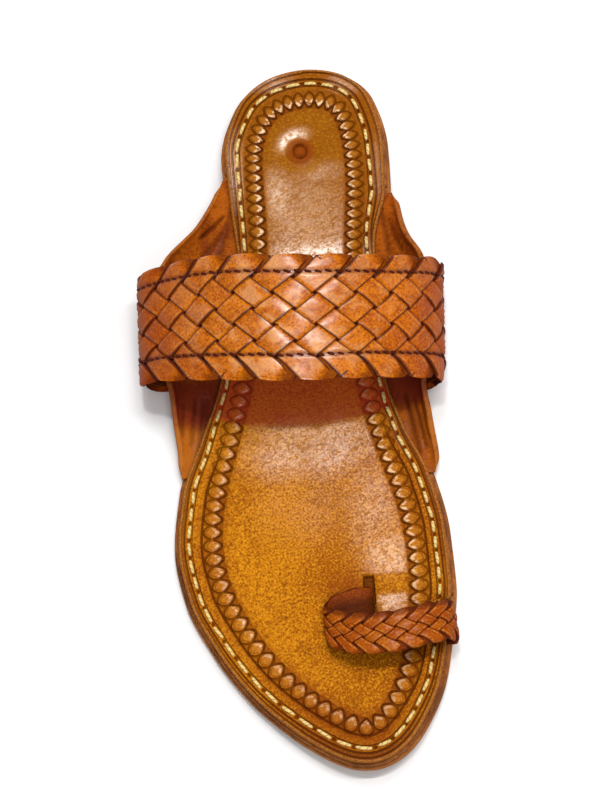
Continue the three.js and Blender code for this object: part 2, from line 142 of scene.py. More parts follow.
# %% Points on the sole
def turn_of(from_heel):
    """The angle that runs from 0 at the heel's back to half a turn at the toe's tip."""
    return np.arccos(np.clip(1 - 2 * from_heel / SOLE_LENGTH, -1, 1))


def from_heel_of(turn):
    return SOLE_LENGTH / 2 * (1 - np.cos(turn) / math.cos(TIP_ANGLE))


TURNED = {**OUTLINE, "turn": turn_of(OUTLINE["from_heel"])}
edge_by_turn = {side: through(TURNED, side, "turn") for side in OUTWARD}
step_at = through(OUTLINE, "step")
ground_at = through(GROUND, "rise")


def edge_point(side, turn, inset):
    """Across and from-heel of the outsole's edge, moved in by a distance."""
    reach = 0.002
    across = edge_by_turn[side]
    run = across(turn + reach) - across(turn - reach)
    rise = from_heel_of(turn + reach) - from_heel_of(turn - reach)
    size = np.hypot(run, rise)
    inward = -OUTWARD[side]
    moved_across = across(turn) + inward * rise / size * inset
    return moved_across, from_heel_of(turn) - inward * run / size * inset


def insole_edge(side, from_heel):
    return edge_point(side, turn_of(from_heel), step_at(from_heel))[0]


def place(from_heel, across, up):
    """Points of the shoe, one row each."""
    parts = np.broadcast_arrays(across + HEEL_AXIS_X, HEEL_BACK_Y - from_heel, up)
    return np.stack(parts, axis=-1).astype(float)


print("sole width:", round(OUTLINE["medial"].max() - OUTLINE["lateral"].min(), 1), "length:", SOLE_LENGTH)

# %% [markdown]
# ## Leather in nodes
# Colour, gloss and grain come from nodes. A small class lets Python's own operators write the sums,
# so a mask reads as `1 - mask` and not as a chain of boxes. Every other node comes from one method.
# A finish is built like a dyed hide: a base first, then one dye after another laid over it.

# %% Sums with sockets
class Sum:
    """One output of a finish, which can be added, multiplied and so on."""

    def __init__(self, finish, socket):
        self.finish = finish
        self.socket = socket

    def __add__(self, other):
        return self.finish.sum("ADD", self, other)

    __radd__ = __add__

    def __mul__(self, other):
        return self.finish.sum("MULTIPLY", self, other)

    __rmul__ = __mul__

    def __sub__(self, other):
        return self.finish.sum("SUBTRACT", self, other)

    def __rsub__(self, other):
        return self.finish.sum("SUBTRACT", other, self)

    def __pow__(self, other):
        return self.finish.sum("POWER", self, other)

    def __abs__(self):
        return self.finish.sum("ABSOLUTE", self)


# %% A finish
class Finish:
    """A material that is put together from nodes."""

    def __init__(self, name, palette=None):
        self.palette = palette
        self.material = bpy.data.materials.new(name)
        self.material.use_nodes = True
        self.tree = self.material.node_tree
        self.tree.nodes.clear()
        self.base = None

    def node(self, kind, settings=None, sockets=None, out=0):
        made = self.tree.nodes.new(kind)
        for key, value in (settings or {}).items():
            setattr(made, key, value)
        for key, value in (sockets or {}).items():
            if isinstance(value, Sum):
                self.tree.links.new(value.socket, made.inputs[key])
            else:
                made.inputs[key].default_value = value
        return Sum(self, made.outputs[out]) if made.outputs else None

    def sum(self, operation, *terms):
        return self.node("ShaderNodeMath", {"operation": operation}, dict(enumerate(terms)))

    def mix(self, factor, one, other):
        """One colour into another, each a socket, a dye or the name of one in the palette."""
        one, other = (self.palette[c] if isinstance(c, str) else c for c in (one, other))
        return self.node("ShaderNodeMix", {"data_type": "RGBA"}, {0: factor, 6: one, 7: other}, 2)

    def lay(self, mask, colour):
        """One more dye over the base, as strong as its mask."""
        self.base = self.mix(mask, self.base, colour)

    def spread(self, value, low, high, start=0.0, end=1.0):
        """A soft step of a value from low to high."""
        names = ("From Min", "From Max", "To Min", "To Max")
        sockets = {"Value": value, **dict(zip(names, (low, high, start, end)))}
        return self.node("ShaderNodeMapRange", {"interpolation_type": "SMOOTHSTEP"}, sockets)

    def mark(self, name):
        """A number kept on the mesh's points."""
        return self.node("ShaderNodeAttribute", {"attribute_name": name}, {}, 2)

    def where(self):
        return self.node("ShaderNodeTexCoord", {}, {}, 3)

    def stretched(self, x, y, z):
        """The place on the shoe with each axis scaled, in a vector."""
        sockets = {0: self.where(), 1: (x, y, z)}
        return self.node("ShaderNodeVectorMath", {"operation": "MULTIPLY"}, sockets)

    def slanted(self, turn, long):
        """The place on the shoe, turned and drawn out along one way, for a grain that lies slantwise."""
        sockets = {"Vector": self.where(), "Rotation": (0, 0, turn), "Scale": (long, 1, 1)}
        return self.node("ShaderNodeMapping", {"vector_type": "TEXTURE"}, sockets)

    def vector(self, x, y, z):
        return self.node("ShaderNodeCombineXYZ", {}, {0: x, 1: y, 2: z})

    def cloud(self, vector, scale, detail=3.0, rough=0.55, twist=0.0):
        names = ("Vector", "Scale", "Detail", "Roughness", "Distortion")
        return self.node("ShaderNodeTexNoise", {}, dict(zip(names, (vector, scale, detail, rough, twist))))

    def bump(self, height, depth, normal=None):
        """Relief in metres: height is 0 to 1 and depth the whole rise."""
        sockets = {"Height": height, "Distance": depth, "Strength": 1.0}
        if normal is not None:
            sockets["Normal"] = normal
        return self.node("ShaderNodeBump", {}, sockets)

    def close(self, **sockets):
        """The leather itself, with its base dye and its other sockets by their names."""
        named = {key.replace("_", " "): value for key, value in sockets.items()}
        surface = self.node("ShaderNodeBsdfPrincipled", {}, {"Base Color": self.base, **named})
        self.node("ShaderNodeOutputMaterial", {}, {"Surface": surface})
        return self.material


# %% Dyes
def dye(red, green, blue):
    """A colour as a picture shows it, 0 to 255, turned into light."""
    parts = np.array([red, green, blue]) / 255
    light = np.where(parts <= 0.04045, parts / 12.92, ((parts + 0.055) / 1.055) ** 2.4)
    return (*[float(v) for v in light], 1.0)


def dyes(**colours):
    return {name: dye(*colour) for name, colour in colours.items()}


MAROON = dye(74, 24, 9)
print("maroon as light:", [round(v, 3) for v in MAROON])

# %% [markdown]
# ## The footbed's finish
# Vegetable-tanned leather is golden where it is bare and goes red-brown where a hot tool or a
# finger has rubbed it. The stamps are cut into the mesh later. The same marks on the mesh tell the
# shader where a stamp's rim lies, so the dye can pool there as sharp as it does on the shoe.

# %% Footbed dyes and beads
PETAL_WIDTH = 2.05
INNER_TIP, OUTER_TIP, TIP_SHARPNESS = 1.3, 1.12, 1.55
FOOTBED_DYE = dyes(
    gold=(192, 116, 12),
    tan=(162, 88, 6),
    heel=(134, 76, 7),
    honey_speck=(226, 156, 32),
    dark_speck=(108, 52, 4),
    dark_dash=(122, 58, 5),
    burnish=(134, 58, 8),
    # Painted pale sheen and painted glare on the glossy patches
    polish=(232, 170, 100),
    glare=(236, 214, 190),
    # Painted highlight on the top of each bead, and painted glints on its inner half
    bead_top=(216, 146, 56),
    bead_arc=(112, 46, 6),
    bead_foot=(112, 44, 6),
    bead_rim=(70, 25, 4),
    bead_glint=(246, 206, 160),
    # Dark of the cut lines, also used as painted shade in the stitch holes, beside the thread and in the
    # slot
    cut_line=(72, 25, 5),
    raw_dark=(116, 58, 16),
    raw_light=(184, 120, 58),
    toe_rim=(96, 42, 16),
    # Painted shadow of the instep band: a red-brown tint where the band shades the footbed
    blush=(198, 58, 38),
)


def stamped_bead(f):
    """0 in the middle of a stamped bead and 1 on its rim: a lemon, drawn to a tip at both ends."""
    x = f.mark("bead_u") * PETAL_WIDTH
    v = f.mark("bead_v")
    inner = f.spread(v, -0.02, 0.02)
    y = abs(v) * (inner * (1 / INNER_TIP - 1 / OUTER_TIP) + 1 / OUTER_TIP)
    return (x**TIP_SHARPNESS + y**TIP_SHARPNESS) ** (1 / TIP_SHARPNESS)


def lay_beads(f, cracked, uneven):
    """Dye that pooled round each bead, a painted highlight on its top and painted glints on its inner
    half. Gives back rim and glint.
    """
    v = f.mark("bead_v")
    bead = stamped_bead(f)
    near = f.spread(abs(v), 1.6, 1.35)
    inward = f.spread(v, -0.5, 0.7)
    rim = f.spread(abs(bead - 1.04), 0.22, 0.06) * near * uneven
    arc = f.spread(abs(bead - 0.58), 0.16, 0.04) * f.spread(v, 0.1, -0.3) * near * uneven
    glint = f.spread(abs(bead - 0.62), 0.28, 0.06) * f.spread(v, -0.1, 0.4) * near
    glint = glint * f.spread(cracked, 0.4, 0.56)
    f.lay(f.spread(bead, 0.8, 0.4) * near * 0.2, "bead_top")
    f.lay(arc * 0.45, "bead_arc")
    f.lay(f.spread(bead, 1.0, 1.35) * near * (0.15 + inward * 0.4), "bead_foot")
    f.lay(rim * (0.65 + inward * 0.3), "bead_rim")
    f.lay(glint * (0.35 + f.mark("lit") * 0.55), "bead_glint")
    return rim, glint


# %% Footbed finish
HIDE_RELIEF, STAMP_RELIEF = 0.0005, 0.0004


def lay_hide(f, broad, fine, dashes, cracked):
    """Golden leather with its specks, burnished where the marks say so, with a painted pale sheen and
    glare on its glossy patches.
    """
    deep, polish = f.mark("deep"), f.mark("polish")
    calm = 1 - deep * 0.75
    burnish = f.mark("burnish") * f.spread(broad, 0.2, 0.75, 0.75, 1.1)
    f.base = f.mix(f.spread(broad, 0.35, 0.68), "gold", "tan")
    f.lay(deep, "heel")
    f.lay(f.spread(fine, 0.5, 0.66, 0, 0.6) * calm, "honey_speck")
    f.lay(f.spread(fine, 0.5, 0.34, 0, 0.68) * calm, "dark_speck")
    f.lay(f.spread(dashes, 0.45, 0.32, 0, 0.55), "dark_dash")
    f.lay(f.sum("MINIMUM", burnish, 0.9), "burnish")
    f.lay(polish * 0.4, "polish")
    f.lay(f.spread(polish, 0.5, 1, 0, 0.75) * f.spread(cracked, 0.42, 0.55), "glare")


def footbed_finish():
    f = Finish("golden_footbed", FOOTBED_DYE)
    at = f.where()
    broad = f.cloud(at, 26, 3, 0.6)
    fine = f.cloud(at, 1150, 2, 0.6)
    dashes = f.cloud(f.slanted(0.5, 3), 700, 3, 0.6, 0.4)
    cracked = f.cloud(f.stretched(1, 1.5, 1), 480, 4, 0.65, 0.6)
    uneven = f.spread(fine, 0.3, 0.6, 0.45, 1)
    line, cut, polish = f.mark("line"), f.mark("cut"), f.mark("polish")
    lay_hide(f, broad, fine, dashes, cracked)
    rim, glint = lay_beads(f, cracked, uneven)
    # Cut lines, with the painted shade of stitch holes, thread and slot
    f.lay(f.spread(line, 0.25, 0.8, 0, 0.9) * uneven, "cut_line")
    granular = f.spread(f.cloud(at, 1700, 3, 0.75), 0.36, 0.64)
    f.lay(cut * 0.8, f.mix(granular, "raw_dark", "raw_light"))
    f.lay(f.mark("toe_rim") * 0.6, "toe_rim")
    # Painted shadow of the band, laid over the footbed in front of and under it
    f.lay(f.mark("blush") * 0.58, "blush")
    grained = cracked * 0.4 + fine * 0.3 + dashes * 0.3
    shine = polish * f.spread(grained, 0.42, 0.56, 0.15, 1) + glint * 0.8
    relief = cracked * (0.4 + polish * 0.7) + fine * 0.35 + dashes * 0.3
    pressed = f.sum("MINIMUM", rim + f.spread(line, 0.2, 0.9), 1)
    return f.close(
        Roughness=f.spread(fine, 0.3, 0.7, 0.5, 0.66) + cut * 0.1,
        Normal=f.bump(1 - pressed, STAMP_RELIEF, f.bump(relief, HIDE_RELIEF)),
        Specular_IOR_Level=0.025,
        Coat_Weight=f.sum("MINIMUM", shine, 1),
        Coat_Roughness=0.27,
        Coat_IOR=1.6,
    )


GOLDEN_FOOTBED = footbed_finish()
print("finish:", GOLDEN_FOOTBED.name, "nodes:", len(GOLDEN_FOOTBED.node_tree.nodes))

# %% [markdown]
# ## The braid's finish
# The strips are the same hide dyed a more orange tan. They shine on top, where a painted golden tone
# and painted highlight lie too. They are paler where an edge is worn, with a painted glint there, and
# darker with painted shade where a strip dives under its neighbour and at the ends of band and loop.
# Each strip keeps a number of its own, so no two have quite the same dye.

# %% Braid finish
BRAID_DYE = dyes(
    # Painted highlight: a golden tone on the tops of band and loop
    crown=(212, 130, 12),
    streak=(150, 62, 6),
    light_speck=(228, 140, 24),
    dark_speck=(122, 44, 5),
    # Darker tone of the loop, and painted shade at the ends of band and loop
    dark_end=(134, 45, 9),
    glow=(240, 186, 130),
    # Painted shade where a strip dives under its neighbour
    low=(84, 24, 6),
    # Paler worn edges, with a painted glint on them
    rubbed=(232, 164, 84),
)


def braid_finish(name, light, dark, worn, groove):
    f = Finish(name, BRAID_DYE)
    at = f.where()
    strip, crown = f.mark("strip"), f.mark("crown")
    across, high = f.mark("strip_across"), f.mark("strip_height")
    lengthwise = f.vector(f.mark("strip_along") * 0.2, across * 1.6, strip * 31)
    streak = f.cloud(lengthwise, 1.0, 4, 0.65, 0.3)
    fine = f.cloud(at, 1100, 2, 0.6)
    pebble = f.cloud(at, 620, 3, 0.6)
    patch = f.cloud(at, 110, 2, 0.5)
    # Painted highlight on the higher cells of the crown
    glow = crown * crown * f.spread(patch, 0.46, 0.6) * f.spread(high, 0.1, 0.6)
    # Painted shade where a strip dives under its neighbour, which is a little rougher there too
    low = f.spread(high, 0.3, -0.55)
    # Paler worn edges of the strips, with a painted glint on them
    rubbed = f.spread(abs(abs(across) - groove + 0.1), 0.11, 0.03) * f.spread(fine, 0.35, 0.6)
    f.base = f.mix(strip, light, dark)
    # Painted golden tone on the crown, part of its highlight
    f.lay(crown * 0.4, "crown")
    f.lay(f.spread(streak, 0.38, 0.66, 0, 0.6), "streak")
    f.lay(f.spread(fine, 0.52, 0.68, 0, 0.45), "light_speck")
    f.lay(f.spread(fine, 0.48, 0.36, 0, 0.6), "dark_speck")
    f.lay(f.mark("dark_end") * 0.68, "dark_end")
    f.lay(glow * 0.34, "glow")
    f.lay(low * 0.7, "low")
    f.lay(rubbed * f.spread(high, -0.1, 0.5) * worn, "rubbed")
    f.lay(f.spread(abs(across), groove, 0.93) * 0.9, MAROON)
    # Dark where the band's stitch rows pinch the strips, and painted shade on the loop's rear rim
    f.lay(f.mark("pinch") * 0.7, MAROON)
    return f.close(
        Roughness=f.spread(fine, 0.3, 0.7, 0.46, 0.62) + low * 0.15,
        Normal=f.bump(streak * 0.4 + fine * 0.3 + pebble * 0.6, 0.0003),
        Specular_IOR_Level=0.035,
        Coat_Weight=crown * f.spread(pebble, 0.35, 0.6, 0.6, 1) * f.spread(high, 0.0, 0.6),
        Coat_Roughness=0.3,
        Coat_IOR=1.6,
    )


ORANGE_BRAID = braid_finish("orange_braid", dye(214, 112, 10), dye(174, 72, 5), worn=0.16, groove=0.82)
BROWN_BRAID = braid_finish("brown_braid", dye(198, 112, 18), dye(160, 78, 8), worn=0.35, groove=0.72)
print("finishes:", ORANGE_BRAID.name, BROWN_BRAID.name)

# %% [markdown]
# ## Flaps, lining, sole edges and thread
# The flaps are rubbed to a red-brown with a pale raw edge, with painted shade in their creases and in
# the band's shadow, and painted light on their front ends. The lining is the fleshy side of a hide,
# with no gloss, and painted shade under the braid's overhang. The stacked edges show their fibres
# lying flat, so the noise is stretched along the ground. The waxed thread is cream, with a twist whose
# grooves are painted in shade.

# %% Flap finish
FLAP_DYE = dyes(
    light=(166, 82, 12),
    dark=(124, 51, 8),
    light_speck=(186, 106, 26),
    dark_speck=(74, 25, 5),
    # Painted light on the front ends of the flaps
    pale=(196, 116, 36),
    # Painted shadow of the band on the flaps
    shade=(122, 36, 26),
    # Painted shade in the creases and the slit
    crease=(58, 18, 5),
    raw=(186, 120, 58),
)


def flap_finish():
    f = Finish("red_brown_flap", FLAP_DYE)
    broad = f.cloud(f.stretched(1, 0.5, 1), 70, 4, 0.6, 0.5)
    fine = f.cloud(f.where(), 800, 4, 0.7)
    crease = f.mark("crease")
    f.base = f.mix(f.spread(broad, 0.35, 0.66), "light", "dark")
    f.lay(f.spread(fine, 0.52, 0.68, 0, 0.45), "light_speck")
    f.lay(f.spread(fine, 0.47, 0.34, 0, 0.6), "dark_speck")
    # Painted light on the front ends, then the painted shadow of the band
    f.lay(f.mark("pale") * 0.6, "pale")
    f.lay(f.mark("shade") * 0.75, "shade")
    f.lay(crease * 0.85, "crease")
    f.lay(f.mark("raw") * f.spread(fine, 0.3, 0.55, 0.1, 0.4), "raw")
    return f.close(
        Roughness=f.spread(fine, 0.3, 0.7, 0.48, 0.66),
        Normal=f.bump(broad * 0.9 + fine * 0.45, 0.0005),
        Specular_IOR_Level=0.03,
        Coat_Weight=f.spread(broad, 0.52, 0.7, 0, 0.15) * (1 - crease),
        Coat_Roughness=0.3,
    )


RED_BROWN_FLAP = flap_finish()
print("finish:", RED_BROWN_FLAP.name)


# %% Lining finish
def lining_finish():
    f = Finish("fleshy_lining")
    fibre = f.cloud(f.where(), 850, 4, 0.7)
    broad = f.cloud(f.where(), 60, 3, 0.6)
    f.base = f.mix(f.spread(fibre, 0.3, 0.7), dye(112, 42, 9), dye(154, 72, 16))
    f.lay(f.spread(broad, 0.4, 0.7, 0, 0.5), dye(84, 28, 6))
    # Painted shade on a lining, deepest under the braid's overhang
    f.lay(f.mark("hollow") * 0.7, dye(50, 17, 5))
    return f.close(Roughness=0.62, Specular_IOR_Level=0.05, Normal=f.bump(fibre, 0.0004))


FLESHY_LINING = lining_finish()
print("finish:", FLESHY_LINING.name)


# %% Edge finish
def edge_finish(name, light, dark):
    f = Finish(name)
    fibre = f.cloud(f.stretched(0.3, 0.3, 2.6), 700, 5, 0.7)
    grain = f.cloud(f.where(), 1400, 3, 0.75)
    broad = f.cloud(f.where(), 45, 3, 0.6)
    f.base = f.mix(f.spread(fibre, 0.3, 0.7), dark, light)
    f.lay(f.spread(grain, 0.48, 0.66, 0, 0.6), dye(184, 118, 56))
    f.lay(f.spread(broad, 0.42, 0.7, 0, 0.6), dye(72, 28, 8))
    return f.close(
        Roughness=f.spread(grain, 0.3, 0.7, 0.5, 0.7),
        Specular_IOR_Level=0.12,
        Normal=f.bump(fibre * 0.5 + grain * 0.6, 0.0003),
    )


OUTSOLE_EDGE = edge_finish("burnished_outsole", dye(184, 114, 50), dye(124, 64, 20))
MIDSOLE_EDGE = edge_finish("burnished_midsole", dye(164, 98, 42), dye(106, 52, 16))
HEEL_EDGE = edge_finish("stacked_heel", dye(124, 60, 22), dye(70, 30, 10))
print("finishes:", OUTSOLE_EDGE.name, MIDSOLE_EDGE.name, HEEL_EDGE.name)


# %% Thread finishes
def thread_finish(name, light, dark):
    f = Finish(name)
    ply = f.sum("FRACT", f.mark("ply"))
    # Painted shade in the grooves between the plies of the twist
    valley = f.spread(abs(ply - 0.5), 0.3, 0.5, 0, 0.6)
    fuzz = f.cloud(f.where(), 2200, 3, 0.7)
    f.base = f.mix(valley, light, dark)
    f.lay(f.spread(fuzz, 0.4, 0.7, 0, 0.4), dark)
    relief = f.bump((1 - valley) + fuzz * 0.4, 0.0002)
    return f.close(Roughness=0.6, Specular_IOR_Level=0.1, Normal=relief)


CREAM_THREAD = thread_finish("cream_thread", dye(236, 208, 134), dye(146, 102, 44))
MAROON_THREAD = thread_finish("maroon_thread", dye(84, 26, 10), dye(40, 10, 5))
print("finishes:", CREAM_THREAD.name, MAROON_THREAD.name)

# %% [markdown]
# ## Making a mesh
# Most pieces are lofts: the same closed section, moved and changed station by station. Small helpers
# turn a grid of points into faces, close its ends and turn it right side out. The last one makes the
# mesh and keeps numbers on its points for the shader to read.

# %% Lofts
def loft_faces(rows, columns, first=0):
    """Quads of a grid of points, row by row, each row a closed ring."""
    r, c = np.meshgrid(np.arange(rows - 1), np.arange(columns), indexing="ij")
    right = (c + 1) % columns
    corners = (r * columns + c, r * columns + right, (r + 1) * columns + right, (r + 1) * columns + c)
    return first + np.stack(corners, axis=-1).reshape(-1, 4)


def end_caps(rows, columns):
    """Quads that close the first and the last ring, each point joined to its partner across the ring."""
    low = np.arange((columns - 1) // 2)
    quads = np.stack([low, low + 1, columns - 2 - low, columns - 1 - low], axis=-1)
    return np.concatenate([quads[:, ::-1], quads + (rows - 1) * columns])


def end_rings(rows, columns, first=0):
    """The numbers of the points in the first and the last ring, for ends that are one face each."""
    start = list(range(first, first + columns))
    return start, [i + (rows - 1) * columns for i in start]


def outward_faces(points, faces):
    """The same faces, turned so that the closed form is not inside out."""
    a, b, c, d = (points[faces[:, i]] for i in range(4))
    volume = np.einsum("ij,ij->", a, np.cross(b, c)) + np.einsum("ij,ij->", a, np.cross(c, d))
    return faces if volume > 0 else faces[:, ::-1]


def folded(upper, under):
    """A ring of columns: along the upper face, then back along the under one."""
    return np.concatenate([upper, under[:, ::-1]], axis=1)


# %% Pieces
def piece(name, points, faces, material, stands_for=(), marks=None):
    """A smooth mesh in metres that rides with the shoe."""
    mesh = bpy.data.meshes.new(name)
    mesh.from_pydata((np.asarray(points) * MM).tolist(), [], [list(map(int, face)) for face in faces])
    mesh.validate()
    mesh.shade_smooth()
    for key, values in (marks or {}).items():
        mark = mesh.attributes.new(key, "FLOAT", "POINT")
        mark.data.foreach_set("value", np.asarray(values, np.float32).ravel())
    mesh.materials.append(material)
    made = bpy.data.objects.new(name, mesh)
    bpy.context.scene.collection.objects.link(made)
    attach(made, "root")
    if stands_for:
        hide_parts(*stands_for)
    mesh.calc_loop_triangles()
    print(name, "triangles:", len(mesh.loop_triangles))


def layer(name, ring, up_from, material, node, marks=None):
    """A leather of the sole from rings of across, from-heel and height, with ends of quads."""
    rows, columns = ring.shape[:2]
    across, from_heel, up = ring.reshape(-1, 3).T
    points = place(from_heel, across, ground_at(from_heel) + up_from + up)
    faces = np.concatenate([loft_faces(rows, columns), end_caps(rows, columns)])
    piece(name, points, outward_faces(points, faces), material, [node], marks)


def sheet(name, upper, under, material, stands_for, marks):
    """A closed sheet from the points of its two faces, each end one face."""
    ring = folded(upper, under)
    rows, columns = ring.shape[:2]
    points = ring.reshape(-1, 3)
    head, tail = end_rings(rows, columns)
    faces = outward_faces(points, loft_faces(rows, columns)).tolist()
    piece(name, points, faces + [head[::-1], tail], material, stands_for, marks)


# %% [markdown]
# ## Sole layers
# Under the footbed lie a filler layer and the outsole, each a little wider than the one above, and
# a low stacked heel. A trimmed edge is never square: it is rubbed round at both corners, with a
# shallow hollow between. So each layer is lofted from a short edge profile, from heel to toe.

# %% Outsole and midsole
EDGE_PROFILE = table(
    "inset share",
    (1.6, 0),
    (0.55, 0.01),
    (0.14, 0.09),
    (0.02, 0.24),
    (0.08, 0.42),
    (0.1, 0.58),
    (0.02, 0.76),
    (0.16, 0.9),
    (0.6, 0.985),
    (1.8, 1),
)
SOLE_STATIONS = 420
FLAP_SPAN = {"lateral": (45, 166), "medial": (57, 173)}
LOOP_ROOT_SPAN = (225, 245)
POCKET_DEPTH = 11
FLAP_POCKET_SLOPE, LOOP_POCKET_SLOPE = 3, 2
MIDSOLE_STEP_SHARE = 0.5
MIDSOLE_DOWN, MIDSOLE_UP = 0.25, 0.2


def sole_layer(name, inset_at, bottom, top, material, node):
    turn = np.linspace(END_TURN, math.pi - END_TURN, SOLE_STATIONS + 1)
    sides = []
    for side in OUTWARD:
        columns = []
        for inset, share in zip(*EDGE_PROFILE.values()):
            across, from_heel = edge_point(side, turn, inset + inset_at(side, from_heel_of(turn)))
            up = np.full_like(turn, share * (top - bottom))
            columns.append(np.stack([across, from_heel, up], axis=-1))
        sides.append(np.stack(columns, axis=1))
    layer(name, folded(*sides), bottom, material, node)


def within(from_heel, span, slope):
    """1 inside a span of the sole's length and 0 outside, with a soft slope at both ends."""
    first, last = span
    return ease(from_heel, first - slope, first) * ease(from_heel, last + slope, last)


def midsole_inset(side, from_heel):
    """The filler's edge, cut back where a flap or the loop's root is let in."""
    cut = within(from_heel, FLAP_SPAN[side], FLAP_POCKET_SLOPE)
    if side == "medial":
        cut = cut + within(from_heel, LOOP_ROOT_SPAN, LOOP_POCKET_SLOPE)
    return MIDSOLE_STEP_SHARE * step_at(from_heel) + POCKET_DEPTH * cut


sole_layer("outsole_leather", lambda side, s: 0 * s, 0, OUTSOLE_TOP, OUTSOLE_EDGE, "outsole")
MIDSOLE_LEVELS = (MIDSOLE_BOTTOM - MIDSOLE_DOWN, MIDSOLE_TOP + MIDSOLE_UP)
sole_layer("midsole_leather", midsole_inset, *MIDSOLE_LEVELS, MIDSOLE_EDGE, "midsole")

# %% Heel lift
HEEL_BREAST = 64
HEEL_INSET, HEEL_FLARE = 0.8, 1.0
BREAST_HOLLOW = 4
HEEL_LAYERS = 3
HEEL_COLUMNS = 28
HEEL_STATIONS = 120
HEEL_GAP = 0.15
HEEL_FOOT = ((0, 0.9), (0.25, 0.25), (0.9, 0))
HEEL_GROOVE = ((-0.35, 0), (0, 0.4), (0.35, 0))
HEEL_SHOULDER = ((-0.7, 0), (-HEEL_GAP, 0.3))


def heel_profile():
    """Levels with their insets, from the ground up: a rubbed foot, grooves between layers, a shoulder."""
    thick = (HEEL_LIFT - HEEL_GAP) / HEEL_LAYERS
    rows = list(HEEL_FOOT)
    for joint in range(1, HEEL_LAYERS):
        rows += [(joint * thick + rise, inset) for rise, inset in HEEL_GROOVE]
    return rows + [(HEEL_LIFT + rise, inset) for rise, inset in HEEL_SHOULDER]


def heel_lift():
    """A closed loop round the lift, repeated level by level."""
    turn = np.linspace(turn_of(HEEL_BREAST), END_TURN, HEEL_STATIONS)
    share = np.linspace(0, 1, HEEL_COLUMNS)[1:-1]
    bow = BREAST_HOLLOW * (1 - (2 * share - 1) ** 2)
    loops = []
    for level, inset in heel_profile():
        flare = HEEL_INSET + HEEL_FLARE * (1 - level / HEEL_LIFT) + inset
        left = np.stack(edge_point("lateral", turn, flare), axis=-1)
        right = np.stack(edge_point("medial", turn[::-1], flare), axis=-1)
        breast = right[-1] + (left[0] - right[-1]) * share[:, None]
        breast[:, 1] -= bow + inset
        flat = np.concatenate([left, right, breast])
        loops.append(place(flat[:, 1], flat[:, 0], level))
    points = np.concatenate(loops)
    faces = outward_faces(points, loft_faces(len(loops), len(loops[0]))).tolist()
    bottom, top = end_rings(len(loops), len(loops[0]))
    piece("heel_stack", points, faces + [bottom, top[::-1]], HEEL_EDGE, ["heel"])


heel_lift()

# %% [markdown]
# ## Stitch line and bead border
# The footbed's border is a row of stamped beads inside the line of sole stitches. Both run beside
# the edge, so each is kept as a ring: a closed line of close points with a count of its repeats. A
# nearest point search then tells every point of the footbed which repeat it is in and how far inside.

# %% Sizes of the border
RING_STEPS = 3000
BEAD_SOFTENING = 140
SOFTENING_REACH = 3
STITCH_INSET = table(
    "from_heel lateral medial",
    (0, 6.4, 6.4),
    (30, 5.1, 6.3),
    (60, 4.3, 5.2),
    (90, 2.6, 3),
    (130, 2.8, 2.8),
    (160, 4.2, 4.2),
    (250, 4.6, 4.6),
    (289, 5.6, 5.6),
)
STITCH_PITCH = table(
    "from_heel lateral medial",
    (0, 7.3, 7.3),
    (60, 7.2, 6.6),
    (150, 7, 6.3),
    (210, 7, 6.3),
    (240, 8.4, 6.4),
    (289, 8.6, 8),
)
BEAD_INSET = table(
    "from_heel lateral medial",
    (0, 6.2, 6.2),
    (60, 5.8, 5.8),
    (130, 6.6, 6.2),
    (165, 7.6, 6.8),
    (215, 8, 7),
    (289, 7.6, 7.4),
)
BEAD_REACH = table("from_heel reach", (0, 2.7), (80, 2.8), (150, 3.1), (240, 3.1), (289, 2.9))
BEAD_PITCH = table(
    "from_heel lateral medial",
    (0, 4.5, 4.5),
    (45, 4.2, 4.2),
    (70, 5.1, 4.3),
    (105, 5.4, 5.2),
    (200, 5.5, 5.4),
    (240, 6, 5.8),
    (289, 6.2, 6.2),
)
bead_reach_at = through(BEAD_REACH, "reach")


# %% Rings inside the edge
def edge_ring(*insets):
    """A closed line inside the edge: down the lateral side to the toe and back up the medial side."""
    turn = np.linspace(END_TURN, math.pi - END_TURN, RING_STEPS)
    s = from_heel_of(turn)
    sides = []
    for side in OUTWARD:
        inset = step_at(s) + sum(through(rows, side)(s) for rows in insets)
        sides.append(np.stack(edge_point(side, turn, inset), axis=-1))
    return np.concatenate([sides[0], sides[1][::-1]])


def softened(ring):
    """The ring smoothed, so that it turns softly at heel and toe."""
    reach = np.arange(-SOFTENING_REACH * BEAD_SOFTENING, SOFTENING_REACH * BEAD_SOFTENING + 1)
    weight = dip(reach, BEAD_SOFTENING)
    wrapped = np.concatenate([ring[-len(reach) :], ring, ring[: len(reach)]])
    smooth = [np.convolve(wrapped[:, k], weight / weight.sum(), "same") for k in (0, 1)]
    return np.stack(smooth, axis=-1)[len(reach) : -len(reach)]


def counted(ring, pitches):
    """A ring with its inward arrows, a search tree and a count of repeats that closes on itself."""
    step = np.roll(ring, -1, axis=0) - ring
    run = step + np.roll(step, 1, axis=0)
    run /= np.linalg.norm(run, axis=1, keepdims=True)
    halves = list(zip(OUTWARD, np.split(ring, 2)))
    pitch, inset = (
        np.concatenate([through(rows, side)(half[:, 1]) for side, half in halves])
        for rows in (pitches, STITCH_INSET)
    )
    count = np.cumsum(np.linalg.norm(step, axis=1) / pitch)
    count *= round(count[-1]) / count[-1]
    tree = KDTree(len(ring))
    for i, (across, s) in enumerate(ring):
        tree.insert((across, s, 0), i)
    tree.balance()
    inward = np.stack([run[:, 1], -run[:, 0]], axis=-1)
    return {"line": ring, "inward": inward, "pitch": pitch, "inset": inset, "count": count, "tree": tree}


def beside_ring(ring, across, from_heel):
    """The nearest step of a ring and the distance inside it, for many points."""
    near = np.array([ring["tree"].find((a, s, 0))[1] for a, s in zip(across, from_heel)])
    away = np.stack([across, from_heel], axis=-1) - ring["line"][near]
    return near, np.einsum("ij,ij->i", away, ring["inward"][near])


